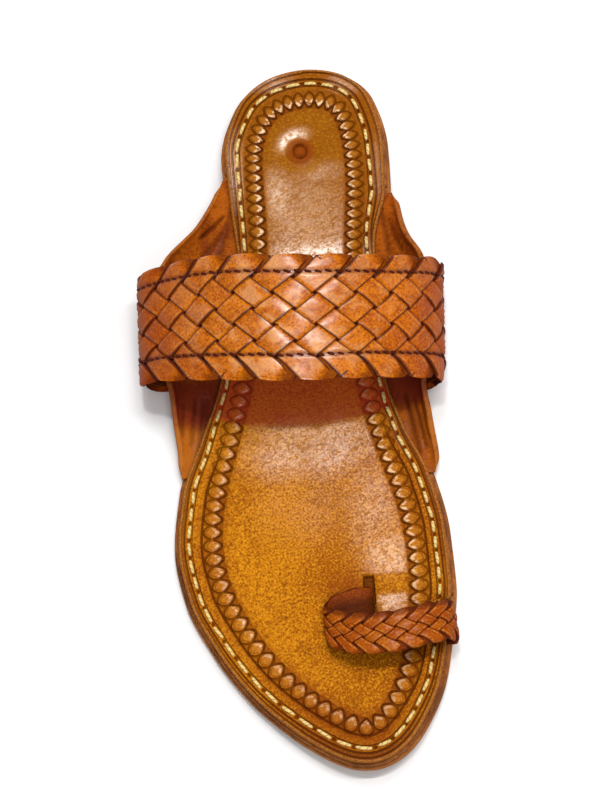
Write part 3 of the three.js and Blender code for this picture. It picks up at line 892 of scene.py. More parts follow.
STITCHES = counted(edge_ring(STITCH_INSET), STITCH_PITCH)
BEADS = counted(softened(edge_ring(STITCH_INSET, BEAD_INSET)), BEAD_PITCH)
print("stitches:", round(STITCHES["count"][-1]), "beads:", round(BEADS["count"][-1]))

# %% [markdown]
# ## Footbed
# The footbed is one thick leather with everything pressed into it: the beads, cut lines, the stitch
# groove and its holes, a stamped dot at the heel and the slot for the toe loop. A fine grid of real
# points carries them, closest where the border runs, and the middle stays coarse. Each function
# below gives a height or adds marks, the numbers that tell the finish what happened there, and where
# shade, sheen and glints are painted.

# %% Beads and stitch line
INNER_LINE = {"lateral": 5.0, "medial": 3.6}
OUTER_LINE, EDGE_LINE = -1.9, 1.5
LINE_WIDTH, EDGE_LINE_WIDTH = 0.42, 0.38
BEAD_RISE, BEAD_SINK = 1.1, 0.4
STITCH_GROOVE, HOLE_DEPTH, LINE_DEPTH = 0.35, 0.55, 0.3


def petal_off(u, v):
    """0 in the middle of a bead and 1 on its rim, as the finish works it out too."""
    x, y = u * PETAL_WIDTH, np.abs(v) / np.where(v > 0, INNER_TIP, OUTER_TIP)
    return (x**TIP_SHARPNESS + y**TIP_SHARPNESS) ** (1 / TIP_SHARPNESS)


def bead_relief(across, from_heel, marks):
    near, inside = beside_ring(BEADS, across, from_heel)
    count, v = BEADS["count"][near], inside / bead_reach_at(BEADS["line"][near, 1])
    u = np.abs(count - np.floor(count) - 0.5)
    bead = np.sqrt(np.clip(1 - petal_off(u, v) ** 2, 0, 1))
    rubbed = 0.25 + 0.35 * ease(from_heel, 250, 280)
    rubbed = rubbed + 0.2 * ease(across, 0, -20) * ease(from_heel, 150, 190)
    marks.update(bead_u=u, bead_v=v, burnish=rubbed * ease(np.abs(v), 2.8, 1.2))
    return ease(np.abs(v), 1.8, 1.1) * (BEAD_RISE * bead - BEAD_SINK)


def stitch_line_depth(across, from_heel, marks):
    near, inside = beside_ring(STITCHES, across, from_heel)
    s, count = STITCHES["line"][near, 1], STITCHES["count"][near]
    hole = np.abs(count - np.round(count)) * STITCHES["pitch"][near]
    lateral, medial = INNER_LINE.values()
    inner_line = np.where(near < RING_STEPS, lateral, medial + (lateral - medial) * ease(s, 250, 281))
    from_edge = STITCHES["inset"][near] + inside
    lines = dip(inside - inner_line, LINE_WIDTH) * ease(s, 140, 165)
    lines = np.maximum(lines, dip(inside - OUTER_LINE, LINE_WIDTH))
    lines = np.maximum(lines, 0.8 * dip(from_edge - EDGE_LINE, EDGE_LINE_WIDTH))
    # Painted shade in each stitch hole and along the inner side of the thread, kept in the line mark with
    # the cut lines
    shade = np.maximum(dip(inside, 0.8) * dip(hole, 1.0), 0.8 * dip(inside - 1.0, 0.35))
    marks["line"] = np.maximum(lines, shade)
    marks["cut"] = ease(from_edge, EDGE_LINE, 0.6)
    marks["toe_rim"] = ease(s, 256, 284) * ease(inside, -0.8, -2.4)
    marks["burnish"] += 0.3 * ease(inside, 2.4, 0.2)
    holes = HOLE_DEPTH * dip(inside, 0.8) * dip(hole, 0.8)
    return STITCH_GROOVE * dip(inside - 0.3, 1.1) + holes + LINE_DEPTH * lines


# %% Heel dot and slot
DOT = {"from_heel": 37, "across": -2.6, "radius": 4.2}
DOT_DISH, DOT_RIM, DOT_MOAT, DOT_MIDDLE = 0.7, 0.6, 0.9, 0.3
SLOT = {"across": 9.3, "from_heel": 222.5, "width": 3.8, "length": 18.4, "depth": 3.0}
# The way from the heel dot to its painted highlight crescent
CRESCENT_WAY = np.array([-0.45, -0.89])


def from_dot(across, from_heel):
    """Distance from the heel dot's middle, and how far a point lies on its bright side, -1 to 1."""
    away = np.stack([across - DOT["across"], from_heel - DOT["from_heel"]], axis=-1)
    off = np.linalg.norm(away, axis=-1)
    return off, away @ CRESCENT_WAY / np.maximum(off, 0.1)


def slot_off(across, from_heel):
    """Distance outside the slot's sides and ends, below 0 inside it."""
    side_off = np.abs(across - SLOT["across"]) - SLOT["width"] / 2
    return np.maximum(side_off, np.abs(from_heel - SLOT["from_heel"]) - SLOT["length"] / 2)


def press_dot_and_slot(height, across, from_heel, marks):
    off, _ = from_dot(across, from_heel)
    height -= DOT_DISH * dip(off - 6.2, 2.4)
    rim = DOT_RIM * dip(off - DOT["radius"], 0.7)
    height += rim - DOT_MOAT * dip(off - 2.6, 0.9) + DOT_MIDDLE * dip(off - 1.1, 0.6)
    beside = slot_off(across, from_heel)
    height -= SLOT["depth"] * ease(beside, 0.4, -0.2)
    by_dot = 0.95 * ease(off, 7.5, 4.0)
    by_slot = 0.65 * dip(across - 1, 9) * dip(from_heel - 216, 7)
    marks["burnish"] = np.clip(np.maximum(np.maximum(marks["burnish"], by_dot), by_slot), 0, 1)
    marks["line"] = np.maximum(marks["line"], 0.75 * dip(off - 2.7, 0.7))
    # Painted shade in the slot: its inside is dyed as dark as the cut lines
    marks["line"] = np.maximum(marks["line"], ease(beside, 0.4, 0.0))


# %% Gloss, painted sheen and wear
# Patches of glossier coat and painted pale sheen: where, how wide, how long and how strong
SHINE = table(
    "across from_heel wide long strength",
    (-3, 66, 18, 18, 0.36),
    (-13, 56, 6, 11, 0.66),
    (-2, 85, 21, 10, 1.0),
    (4, 47, 10, 5, 0.35),
    (-30, 42, 5, 15, 0.6),
    (-14, 6, 9, 4, 0.5),
    (19, 9, 7, 5, 0.5),
    (30, 50, 4, 14, 0.35),
    (-8, 159, 26, 13, 0.5),
    (-2, 180, 26, 18, 0.09),
    (13, 184, 13, 22, 0.22),
    (18, 206, 9, 9, 0.5),
    (17, 224.5, 8, 4, 0.55),
)
# Where the painted shadow of the band ends on the footbed: a line bowed round its middle
SHADE = {"edge": 151.2, "middle": -8, "bow": 0.0042}


def rubbed_shine(across, from_heel):
    """Glossier coat and a painted pale sheen on the footbed, as soft patches listed in SHINE, and a
    painted highlight crescent beside the heel dot.
    """
    shine = np.zeros_like(across)
    for at, s, wide, long, strength in zip(*SHINE.values()):
        off = ((across - at) / wide) ** 2 + ((from_heel - s) / long) ** 2
        shine = np.maximum(shine, strength * np.exp(-(off**1.5)))
    off, way = from_dot(across, from_heel)
    return np.maximum(shine, dip(off - 7.6, 2.0) * ease(way, 0.15, 0.85))


def footbed_relief(across, from_heel):
    """Height over the plain footbed in millimetres, and the marks that its finish reads."""
    marks = {}
    height = bead_relief(across, from_heel, marks)
    height -= stitch_line_depth(across, from_heel, marks)
    press_dot_and_slot(height, across, from_heel, marks)
    marks["deep"] = 0.85 * ease(from_heel, 110, 50) + 0.3 * ease(from_heel, 250, 280)
    # Painted shadow of the band: a red-brown tint up to the edge of the band's cast shade
    shade_edge = SHADE["edge"] - SHADE["bow"] * (across - SHADE["middle"]) ** 2
    marks["blush"] = ease(from_heel - shade_edge, 0.8, -2.8) * ease(from_heel, 96, 132)
    # Glossier coat and painted sheen, kept off the beads
    marks["polish"] = rubbed_shine(across, from_heel) * ease(np.abs(marks["bead_v"]), 1.2, 1.7)
    # Painted shadow of the toe loop: less gloss and painted sheen on the heel side of the loop, beside the
    # slot
    behind_loop = ease(from_heel, 212.6, 213.4) * ease(from_heel, 222.2, 220.8) * ease(across, 7, 9)
    marks["polish"] *= 1 - 0.9 * behind_loop
    # Where the painted glints on the beads are brightest: at the heel and the medial ball
    marks["lit"] = np.maximum(ease(from_heel, 112, 70), ease(across, 4, 16) * dip(from_heel - 185, 45))
    waves = 0.1 * np.sin(from_heel / 5.1 + across / 9) * np.sin(across / 6.3 - from_heel / 11)
    ball_wear = -0.5 * dip(across + 12, 22) * dip(from_heel - 195, 30)
    wear = ball_wear - 0.4 * dip(across, 16) * dip(from_heel - 34, 24)
    return height + waves + wear, marks


# %% Footbed mesh
FOOTBED_STATIONS = 640
BORDER_COLUMNS, MIDDLE_COLUMNS = 44, 40
SLOT_SHARE, SLOT_CROWD, SLOT_SPREAD = 0.806, 5, 0.06
CROWD_SAMPLES = 400
BORDER_WIDTH, BORDER_SHARE = 18.5, 0.36
RELIEF_FADE = 0.6
# The rims are raw cut leather and lie far from any bead
RIM_MARKS = {"cut": 1.0, "bead_v": 9.0}
NOTCH = {"across": 37.5, "span": (225.8, 244.2), "slope": 0.8}
INSOLE_PROFILE = table(
    "inset drop",
    (0.9, 3.6),
    (0.2, 3.3),
    (0, 2.6),
    (0, 1.3),
    (0.12, 0.7),
    (0.45, 0.22),
    (0.9, 0),
)


def footbed_rims(side, turn):
    """The rounded edge of one side, from its foot to the top, notched where the loop comes out."""
    rims = []
    for inset, drop in zip(*INSOLE_PROFILE.values()):
        across, from_heel = edge_point(side, turn, step_at(from_heel_of(turn)) + inset)
        if side == "medial":
            notched = within(from_heel, NOTCH["span"], NOTCH["slope"])
            across = across + notched * np.minimum(NOTCH["across"] - inset - across, 0)
        rims.append(np.stack([across, from_heel, np.full_like(across, -drop)], axis=-1))
    return np.stack(rims, axis=1)


def column_shares(width):
    """Where the columns lie between both edges: close in the borders and beside the slot."""
    share = np.minimum(BORDER_WIDTH / width, BORDER_SHARE)[:, None]
    t = np.linspace(0, 1, BORDER_COLUMNS + 1)
    grid = np.linspace(0, 1, CROWD_SAMPLES)
    crowd = np.cumsum(1 + SLOT_CROWD * dip(grid - SLOT_SHARE, SLOT_SPREAD))
    middle = np.interp(np.linspace(crowd[0], crowd[-1], MIDDLE_COLUMNS + 1)[1:-1], crowd, grid)
    between = share + (1 - 2 * share) * middle
    return np.concatenate([share * t[1:], between, 1 - share * t[:0:-1]], axis=1)


def footbed():
    turn = np.linspace(END_TURN, math.pi - END_TURN, FOOTBED_STATIONS + 1)
    lateral, medial = (footbed_rims(side, turn) for side in OUTWARD)
    left, right = lateral[:, -1], medial[:, -1]
    width = np.linalg.norm(right[:, :2] - left[:, :2], axis=1)
    shares = column_shares(width)
    top = left[:, None] + (right - left)[:, None] * shares[..., None]
    flat = top.reshape(-1, 3)
    height, marks = footbed_relief(flat[:, 0], flat[:, 1])
    fade = np.minimum(np.minimum(shares, 1 - shares) * width[:, None] / RELIEF_FADE, 1).ravel()
    flat[:, 2] += height * fade
    ring = np.concatenate([lateral, top, medial[:, ::-1]], axis=1)
    rims = lateral.shape[1]
    kept = {}
    for key, values in marks.items():
        kept[key] = np.full(ring.shape[:2], RIM_MARKS.get(key, 0.0))
        kept[key][:, rims:-rims] = values.reshape(shares.shape)
    layer("golden_insole", ring, INSOLE_TOP, GOLDEN_FOOTBED, "insole", kept)


footbed()

# %% [markdown]
# ## Sole stitches
# A saddle maker's stitch is a short fat length of waxed thread that dips into a hole at each end. One
# stitch is a sausage, bent along the path, thick in the middle and sunk at its ends. Its twist is
# kept as a mark for the shader.

# %% Thread
THREAD_SIDES = 8
THREAD_TIP = 0.02


def thread(name, lines, radius, material, flat, turns):
    """Many short stitches in one mesh. Each line holds its middle points and the ways up and sideways."""
    angle = np.arange(THREAD_SIDES) / THREAD_SIDES * 2 * math.pi
    points, faces, ply = [], [], []
    for middle, up, side in lines:
        steps = len(middle)
        t = np.linspace(-1, 1, steps)
        fat = radius * np.sqrt(np.clip(1 - np.abs(t) ** 4, THREAD_TIP, 1))
        sideways = side[:, None] * np.cos(angle)[None, :, None]
        ring = sideways + up[:, None] * (flat * np.sin(angle))[None, :, None]
        first = sum(len(p) for p in points)
        points.append((middle[:, None] + ring * fat[:, None, None]).reshape(-1, 3))
        head, tail = end_rings(steps, THREAD_SIDES, first)
        faces += loft_faces(steps, THREAD_SIDES, first).tolist() + [head[::-1], tail]
        ply.append((turns * (t[:, None] + 1) / 2 + angle[None] / (2 * math.pi)).ravel())
    piece(name, np.concatenate(points), faces, material, marks={"ply": np.concatenate(ply)})


# %% Stitches round the sole
STITCH_LENGTH_SHARE = 0.82
STITCH_RADIUS = 0.7
STITCH_POINTS = 9
STITCH_SLIP, STITCH_SWAY = 0.03, 0.18
STITCH_LENGTHS = (0.88, 1.06)
STITCH_SEAT, STITCH_ARCH, STITCH_DIVE = -0.05, 0.25, 0.8


def sole_stitches():
    lines = []
    t = np.linspace(-1, 1, STITCH_POINTS)
    up = np.tile([0.0, 0.0, 1.0], (STITCH_POINTS, 1))
    for i in range(round(STITCHES["count"][-1])):
        middle_count = i + 0.5 + STITCH_SLIP * rng.standard_normal()
        count = middle_count + t * STITCH_LENGTH_SHARE / 2 * rng.uniform(*STITCH_LENGTHS)
        fields = np.concatenate([STITCHES["line"], STITCHES["inward"]], axis=1).T
        across, s, in_across, in_s = (np.interp(count, STITCHES["count"], field) for field in fields)
        sway = STITCH_SWAY * rng.standard_normal() * t
        level = ground_at(s) + INSOLE_TOP + STITCH_SEAT + STITCH_ARCH * (1 - t**2) - STITCH_DIVE * t**8
        middle = place(s + sway * in_s, across + sway * in_across, level)
        lines.append((middle, up, np.stack([in_across, -in_s, 0 * s], axis=-1)))
    thread("sole_stitches", lines, STITCH_RADIUS, CREAM_THREAD, flat=0.7, turns=2.5)


sole_stitches()

# %% [markdown]
# ## Ear flaps
# The flaps are let in between the layers, come out over the outsole's rim and stand up to carry the
# band. Each is a row of soft sections from root to free edge. Creases are pressed in where the
# leather folds at the sole and where it bends to the band.

# %% Curves through points
class Curve:
    """A smooth curve through points, with knots spaced by the root of their distance."""

    def __init__(self, points):
        p = np.asarray(points, float)
        self.p = np.concatenate([[2 * p[0] - p[1]], p, [2 * p[-1] - p[-2]]])
        self.gap = np.sqrt(np.linalg.norm(np.diff(self.p, axis=0), axis=1))
        self.spans = len(p) - 1

    def at(self, t):
        place_on = np.clip(np.asarray(t, float), 0, 1) * self.spans
        i = np.minimum(place_on.astype(int), self.spans - 1)
        w = (place_on - i)[..., None]
        p0, p1, p2, p3 = (self.p[i + k] for k in range(4))
        g0, g1, g2 = (self.gap[i + k][..., None] for k in range(3))
        leave = ((p1 - p0) / g0 - (p2 - p0) / (g0 + g1) + (p2 - p1) / g1) * g1
        reach = ((p2 - p1) / g1 - (p3 - p1) / (g1 + g2) + (p3 - p2) / g2) * g1
        c2 = -3 * p1 + 3 * p2 - 2 * leave - reach
        c3 = 2 * p1 - 2 * p2 + leave + reach
        return p1 + w * (leave + w * (c2 + w * c3))


LENGTH_SAMPLES = 480


def even_shares(point_at):
    """The curve's length, and the share of its control points at an even part of that length."""
    grid = np.linspace(0, 1, LENGTH_SAMPLES + 1)
    steps = np.linalg.norm(np.diff(point_at(grid), axis=0), axis=1)
    lengths = np.concatenate([[0], np.cumsum(steps)])
    return lengths[-1], lambda part: np.interp(np.asarray(part) * lengths[-1], lengths, grid)


def run_at(point_at, t, reach):
    """The way a curve runs at a share of its control points."""
    return point_at(np.minimum(t + reach, 1)) - point_at(np.maximum(t - reach, 0))


# %% Flap sections
FLAP_WALL = 2.4
FLAP_ROOT, FLAP_HOLD, FLAP_LIP = 11, 4, 0.8
FLAP_REACH = 0.004
FLAP_PROFILE = table("out up", (0.45, 0.12), (0.74, 0.36), (0.92, 0.67), (1, 1))
FLAP = {
    "lateral": table(
        "from_heel out up",
        (45, 2.5, 0.8),
        (54, 7, 2.4),
        (64, 13.6, 5.4),
        (80, 29, 11.8),
        (90, 33.4, 13.4),
        (102, 32.6, 13.8),
        (114, 29.4, 13.6),
        (131, 19, 11.6),
        (147, 11.3, 5.6),
        (158, 6, 2.2),
        (166, 2.7, 0.8),
    ),
    "medial": table(
        "from_heel out up",
        (57, 3, 0.8),
        (67, 7.4, 3.4),
        (78, 13.2, 8),
        (88, 18.6, 11.4),
        (100, 20.8, 12.4),
        (129, 17.8, 12.4),
        (140, 13.4, 10.6),
        (152, 11, 7),
        (163, 7.4, 3),
        (173, 3.2, 0.8),
    ),
}


def flap_section(side, from_heel, out, up):
    """From the pocket over the rim and up: one smooth line in the plane of a station."""
    edge = insole_edge(side, np.array(from_heel, float))
    root = ground_at(np.array(from_heel, float)) + ROOT_LEVEL
    outside = FLAP_LIP + FLAP_PROFILE["out"] * (out - FLAP_LIP)
    reach = np.concatenate([[-FLAP_ROOT, -FLAP_HOLD, FLAP_LIP], outside])
    lift = np.concatenate([[0, 0, 0], FLAP_PROFILE["up"] * up])
    return Curve(place(np.full_like(reach, from_heel), edge + OUTWARD[side] * reach, root + lift))


def beside_flap(section, part, distance):
    """Points over or under the middle of a flap, square to its section."""
    _, share = even_shares(section.at)
    t = share(part)
    along = run_at(section.at, t, FLAP_REACH)
    over = np.stack([-along[:, 2], 0 * along[:, 0], along[:, 0]], axis=-1)
    over *= np.where(over[:, 2:] < 0, -1, 1) / np.linalg.norm(over, axis=1, keepdims=True)
    return section.at(t) + over * np.asarray(distance).reshape(-1, 1)


# %% Flap creases
CREASE_COLUMNS = "start_heel start_part end_heel end_part depth width"
CREASES = {
    "lateral": table(
        CREASE_COLUMNS,
        (60.3, 0.61, 70.4, 0.79, 1.4, 0.8),
        (66, 0.5, 83, 0.66, 0.6, 1.5),
        (52, 0.5, 84, 0.44, 0.5, 1.6),
        (134, 0.47, 160, 0.53, 0.6, 1.4),
        (134, 0.6, 154, 0.72, 0.5, 1.3),
        (136, 0.78, 150, 0.86, 0.4, 1.2),
    ),
    "medial": table(
        CREASE_COLUMNS,
        (63, 0.56, 84, 0.52, 0.6, 1.4),
        (68, 0.68, 84, 0.72, 0.5, 1.3),
        (140, 0.56, 166, 0.6, 0.8, 1.3),
        (142, 0.7, 164, 0.76, 0.6, 1.2),
        (144, 0.84, 160, 0.88, 0.4, 1.1),
    ),
}
DARK_SHARE = 0.75


def along_segment(points, start, end):
    """Distance of points from a straight crease, and how far along it they lie."""
    run = end - start
    t = np.clip((points - start) @ run / (run @ run), 0, 1)
    return np.linalg.norm(points - start - t[:, None] * run, axis=1), t


def pressed_creases(side, points, section_at):
    """How deep each point of a flap is pressed in, and how much painted shade darkens it there."""
    pressed, dark = np.zeros(len(points)), np.zeros(len(points))
    for start_heel, start_part, end_heel, end_part, depth, width in zip(*CREASES[side].values()):
        start = beside_flap(section_at(start_heel), np.array([start_part]), [0])[0]
        end = beside_flap(section_at(end_heel), np.array([end_part]), [0])[0]
        off, t = along_segment(points, start, end)
        fade = np.sqrt(np.clip(1 - (2 * t - 1) ** 6, 0, 1))
        pressed += depth * dip(off, width) * fade
        dark = np.maximum(dark, dip(off, width * DARK_SHARE) * fade * np.minimum(depth, 1))
    return pressed, dark


# %% Flap meshes
FLAP_STATIONS = 320
FLAP_COLUMNS = 70
FLAP_TAPER = 6
TAPER_OUT, TAPER_WALL = 0.92, 0.35
# How strong the painted light on each flap's front end is
PALE_FRONT = {"lateral": 0.8, "medial": 0.3}
RIPPLE, UNDER_RIPPLE, UNDER_DARK = 0.25, 0.6, 0.3


def ear_flap(side):
    rows = FLAP[side]
    out_at, up_at = through(rows, "out"), through(rows, "up")
    first, last = rows["from_heel"][[0, -1]]
    stations = np.linspace(first, last, FLAP_STATIONS + 1)
    slope = ease(stations, first, first + FLAP_TAPER) * ease(stations, last, last - FLAP_TAPER)
    part = np.linspace(0, 1, FLAP_COLUMNS + 1)

    def section_at(s, k=1.0):
        return flap_section(side, s, out_at(s) * (TAPER_OUT + (1 - TAPER_OUT) * k), up_at(s) * k)

    sections = [section_at(s, k) for s, k in zip(stations, slope)]
    middle = np.stack([beside_flap(c, part, 0 * part) for c in sections])
    creases = pressed_creases(side, middle.reshape(-1, 3), section_at)
    pressed, dark = (field.reshape(middle.shape[:2]) for field in creases)
    thin = np.sqrt(np.clip(1 - ease(part, 0.975, 1.01) ** 2, 0.1, 1))
    ripple = RIPPLE * np.sin(stations / 4.3)[:, None] * np.sin(part * 11 + 1)[None]
    ripple = ripple * ease(part, 0.35, 0.6)
    upper, under = [], []
    for row, section in enumerate(sections):
        wave = ripple[row] - pressed[row]
        half = FLAP_WALL / 2 * thin * (TAPER_WALL + (1 - TAPER_WALL) * slope[row])
        upper.append(beside_flap(section, part, half + wave))
        under.append(beside_flap(section, part, UNDER_RIPPLE * wave - half))
    free = np.tile(ease(part, 0.985, 0.999), (len(stations), 1))
    across = 2 * len(part)
    marks = {
        # Painted shade in the creases, weaker on the under face
        "crease": folded(dark, UNDER_DARK * dark),
        "raw": folded(free, free),
        # Painted shadow of the band on the flaps just in front of it, and painted light on their front
        # ends
        "shade": np.tile((ease(stations, 124, 130) * ease(stations, 148, 142))[:, None], across),
        "pale": np.tile(PALE_FRONT[side] * ease(stations, 144, 150)[:, None], across),
    }
    name, node = f"ear_flap_{side}_leather", f"ear_flap_{side}"
    sheet(name, np.stack(upper), np.stack(under), RED_BROWN_FLAP, [node], marks)


for side in FLAP:
    ear_flap(side)

# %% [markdown]
# ## The braid
# A flat braid has a few strips that run slantwise to an edge, turn there and run back. Count the
# crossings in half-pitches and the whole weave is a rule: a strip is over at one crossing, under at
# the next, and at an edge it goes from one to the other on its way round. Each slanting run is a
# real ribbon here, with thickness, so strips truly cover one another, and both runs of a strip meet
# at the edge in a rounded lobe.

# %% How a strip rises and dives
WEAVE_STEEPNESS = 1.5


def weave(strands, q):
    """Height of a strip from -1, under, to 1, over, at a count of crossings since its turn."""
    n = strands
    sign = -1 if n % 2 == 0 else 1
    tests = [q < 1, q < n - 1, q < n + 1, q < 2 * n - 1]
    heights = [
        np.sin(math.pi / 2 * q),
        -np.cos(math.pi * q),
        sign * np.sin(math.pi / 2 * (q - n)),
        np.cos(math.pi * q),
    ]
    height = np.select(tests, heights, np.sin(math.pi / 2 * (q - 2 * n)))
    return np.tanh(WEAVE_STEEPNESS * height) / math.tanh(WEAVE_STEEPNESS)


def lobe_share(along, offset):
    off = np.abs(along + offset - 2 * np.round((along + offset) / 2))
    return 1 - off * off


class Braid:
    """The sizes of one braid and where its crossings lie across its wall."""

    def __init__(self, strands, columns, width, lobe, notch, hand):
        self.strands, self.columns, self.width = strands, columns, width
        self.lobe, self.notch, self.hand = lobe, notch, hand
        self.row = (width - 2 * lobe) / strands

    def across(self, along, b):
        """Millimetres from the first edge at a crossing count b, with the edge drawn out in lobes."""
        first = self.notch + (self.lobe - self.notch) * lobe_share(along, 0)
        last = self.notch + (self.lobe - self.notch) * lobe_share(along, self.strands)
        low = np.clip(1 - b, 0, 1) ** 2 * first
        high = np.clip(1 - (self.strands - b), 0, 1) ** 2 * last
        return self.lobe + b * self.row - low + high

    def crossings(self, way, b, w):
        """Crossings since the last turn. The run that goes the way of hand starts on top."""
        half = self.hand * w / 2
        return b + half if way == self.hand else 2 * self.strands - b + half

    def top(self, along, b):
        """The higher of the two strips at a place, from -1 to 1."""
        heights = []
        for way in (1, -1):
            w = along - way * b
            heights.append(weave(self.strands, self.crossings(way, b, w - 2 * np.round(w / 2))))
        return np.maximum(*heights)


# %% Ribbons
STRIP_HALF = 0.935
STRIP_SECTION = table(
    "across drop",
    (-1, 1.0),
    (-0.985, 0.42),
    (-0.93, 0.14),
    (-0.8, 0.04),
    (-0.45, 0.0),
    (0, 0.0),
    (0.45, 0.0),
    (0.8, 0.04),
    (0.93, 0.14),
    (0.985, 0.42),
    (1, 1.0),
)
STRIP_SINK, STRIP_SHIFT = 0.07, 0.015
PRESS_FLATTENS, PRESS_DEPTH = 0.35, 0.3
EDGE_DROP = 0.42
THINNEST = 0.1
TONE_OFFSET = 50


def ribbon(braid, wall, surface, tones, way, turn):
    """One slanting run of a strip as rings of points with its marks, or None where it misses the braid."""
    n, columns, thick = braid.strands, braid.columns, wall["thick"]
    tone = rng.random()
    sink = STRIP_SINK * rng.standard_normal()
    shift = STRIP_SHIFT * rng.standard_normal()
    b_line = np.linspace(0, n, n * wall["steps"] + 1)
    b, w = np.meshgrid(b_line, STRIP_SECTION["across"] * STRIP_HALF + shift, indexing="ij")
    along = turn + w + way * b
    if along.max() <= 0 or along.min() >= columns:
        return None
    height = weave(n, braid.crossings(way, b, w))
    leans = wall["lean"] * rng.standard_normal((n + 1, 2))
    tilt = sum(dip(b - k, 0.5) * (side * w + fall * (b - k)) for k, (side, fall) in enumerate(leans))
    y = braid.across(along, b)
    rim = np.minimum(y - braid.across(along, 0 * b), braid.across(along, 0 * b + n) - y)
    rounding = 1 - np.sqrt(np.clip(1 - np.clip(1 - rim / wall["round"], 0, 1) ** 2, 0, 1))
    press = wall["press"](y)
    rise = wall["rise"] * (1 - PRESS_FLATTENS * press) * height
    lift = wall["base"] + rise + sink + tilt - PRESS_DEPTH * press
    crowned = wall["crown"] * STRIP_SECTION["across"] ** 2
    top = lift + thick / 2 - thick * (0.5 * rounding + EDGE_DROP * STRIP_SECTION["drop"] + crowned)
    under = lift - thick / 2 + 0.3 * thick * rounding
    part = np.clip(along, 0, columns) / columns
    outer = surface(part, y / braid.width, top)
    inner = surface(part, y / braid.width, np.minimum(under, top - THINNEST))
    first, last = np.flatnonzero((along.max(axis=1) > 0) & (along.min(axis=1) < columns))[[0, -1]]
    fields = {
        "strip": np.full_like(b, tone),
        "strip_across": np.broadcast_to(STRIP_SECTION["across"], b.shape),
        "strip_along": b * wall["run"] + TONE_OFFSET * tone,
        "strip_height": height,
        "crown": tones["crown"](part),
        "dark_end": tones["dark_end"](part),
        "pinch": press,
    }
    kept = slice(first, last + 1)
    return folded(outer, inner)[kept], {key: folded(f, f)[kept].ravel() for key, f in fields.items()}


def strips(name, braid, wall, surface, material, node, tones):
    """All the slanting runs of a braid in one mesh."""
    n, columns = braid.strands, braid.columns
    points, faces, marks = [], [], []
    count = 0
    for way, low, high in ((1, -n - 2, columns + 2), (-1, -2, columns + n + 2)):
        for turn in range(low + low % 2, high + 1, 2):
            made = ribbon(braid, wall, surface, tones, way, turn)
            if made is None:
                continue
            rows, size = made[0].shape[:2]
            points.append(made[0].reshape(-1, 3))
            marks.append(made[1])
            faces += (outward_faces(points[-1], loft_faces(rows, size)) + count).tolist()
            faces += end_rings(rows, size, count)
            count += rows * size
    joined = {key: np.concatenate([each[key] for each in marks]) for key in marks[0]}
    piece(name, np.concatenate(points), faces, material, [node], joined)


# %% [markdown]
# ## Instep band
# The band is a leaning arch. Its two edges are curves: low on the outside of a flap, up over the
# instep and down the other side. A point of the band lies on the straight line between them, at a
# lift square to the wall. The lining's inner face lies at no lift, and the strips above the lining.

# %% Band edges
LAP_PARTS = np.array([0.66, 0.84, 1])
LAP_GAP = 0.55
LAP = {
    ("lateral", "rear"): (86, -67.2, 27),
    ("lateral", "front"): (131, -69.4, 23.5),
    ("medial", "rear"): (91, 46, 25),
    ("medial", "front"): (139.8, 42, 21),
}
BAND_ARCH = table(
    "rear_heel rear_across rear_rise front_heel front_across front_rise",
    (86.3, -67, 31.6, 131.5, -69.4, 28),
    (87, -58, 41, 133.5, -60.5, 37),
    (89, -42, 54.5, 137.5, -44, 48),
    (92, -26, 63, 141, -28, 55.5),
    (95, -8, 66.5, 143.5, -11, 58),
    (95.8, 6, 64.5, 143.8, 3, 56),
    (95.5, 20, 58, 143, 17, 50),
    (94, 34.5, 47, 142, 31, 40),
    (92, 44, 35, 140.5, 40.4, 29.5),
)


def lap_points(side, edge):
    """Where the band lies on the outside of a flap."""
    from_heel, reach, rise = LAP[side, edge]
    s = np.array(float(from_heel))
    out = OUTWARD[side] * (reach - insole_edge(side, s))
    section = flap_section(side, from_heel, out, rise - ground_at(s) - ROOT_LEVEL)
    return beside_flap(section, LAP_PARTS, np.full(len(LAP_PARTS), -FLAP_WALL / 2 - LAP_GAP))


def band_edge(edge):
    arch = place(*(BAND_ARCH[f"{edge}_{key}"] for key in ("heel", "across", "rise")))
    return Curve(np.concatenate([lap_points("lateral", edge), arch, lap_points("medial", edge)[::-1]]))


# %% Band surface
BAND_HALF_PITCH = 7.8
BAND_STRANDS, BAND_LOBE, BAND_NOTCH = 7, 2.9, 2.0
SURFACE_REACH = 0.002
BAND_REAR, BAND_FRONT = band_edge("rear"), band_edge("front")
BAND_LENGTH, band_share = even_shares(lambda t: (BAND_REAR.at(t) + BAND_FRONT.at(t)) / 2)
BAND_WIDTH = float(np.linalg.norm(BAND_REAR.at(0.5) - BAND_FRONT.at(0.5)))
BAND_COLUMNS = round(BAND_LENGTH / BAND_HALF_PITCH)
BAND = Braid(BAND_STRANDS, BAND_COLUMNS, BAND_WIDTH, BAND_LOBE, BAND_NOTCH, hand=-1)


def band_surface(part, across, lift):
    """Points at a part of the band's length, a share across it and a lift off its inner face."""
    part, across, lift = np.broadcast_arrays(part, across, lift)
    t = band_share(part)

    def on(at):
        return BAND_REAR.at(at) * (1 - across[..., None]) + BAND_FRONT.at(at) * across[..., None]

    over = np.cross(run_at(on, t, SURFACE_REACH), BAND_FRONT.at(t) - BAND_REAR.at(t))
    return on(t) - over / np.linalg.norm(over, axis=-1, keepdims=True) * lift[..., None]


print("band length and width:", round(BAND_LENGTH, 1), round(BAND_WIDTH, 1), "half-pitches:", BAND_COLUMNS)

# %% Band strips
BAND_STITCH_ROWS = (7.0, BAND_WIDTH - 10.0)
STITCH_PRESS_WIDTH = 0.9


def band_press(y):
    """1 under a row of stitches, which pull the strips down, and 0 away from it."""
    return np.maximum(*(dip(y - row, STITCH_PRESS_WIDTH) for row in BAND_STITCH_ROWS))


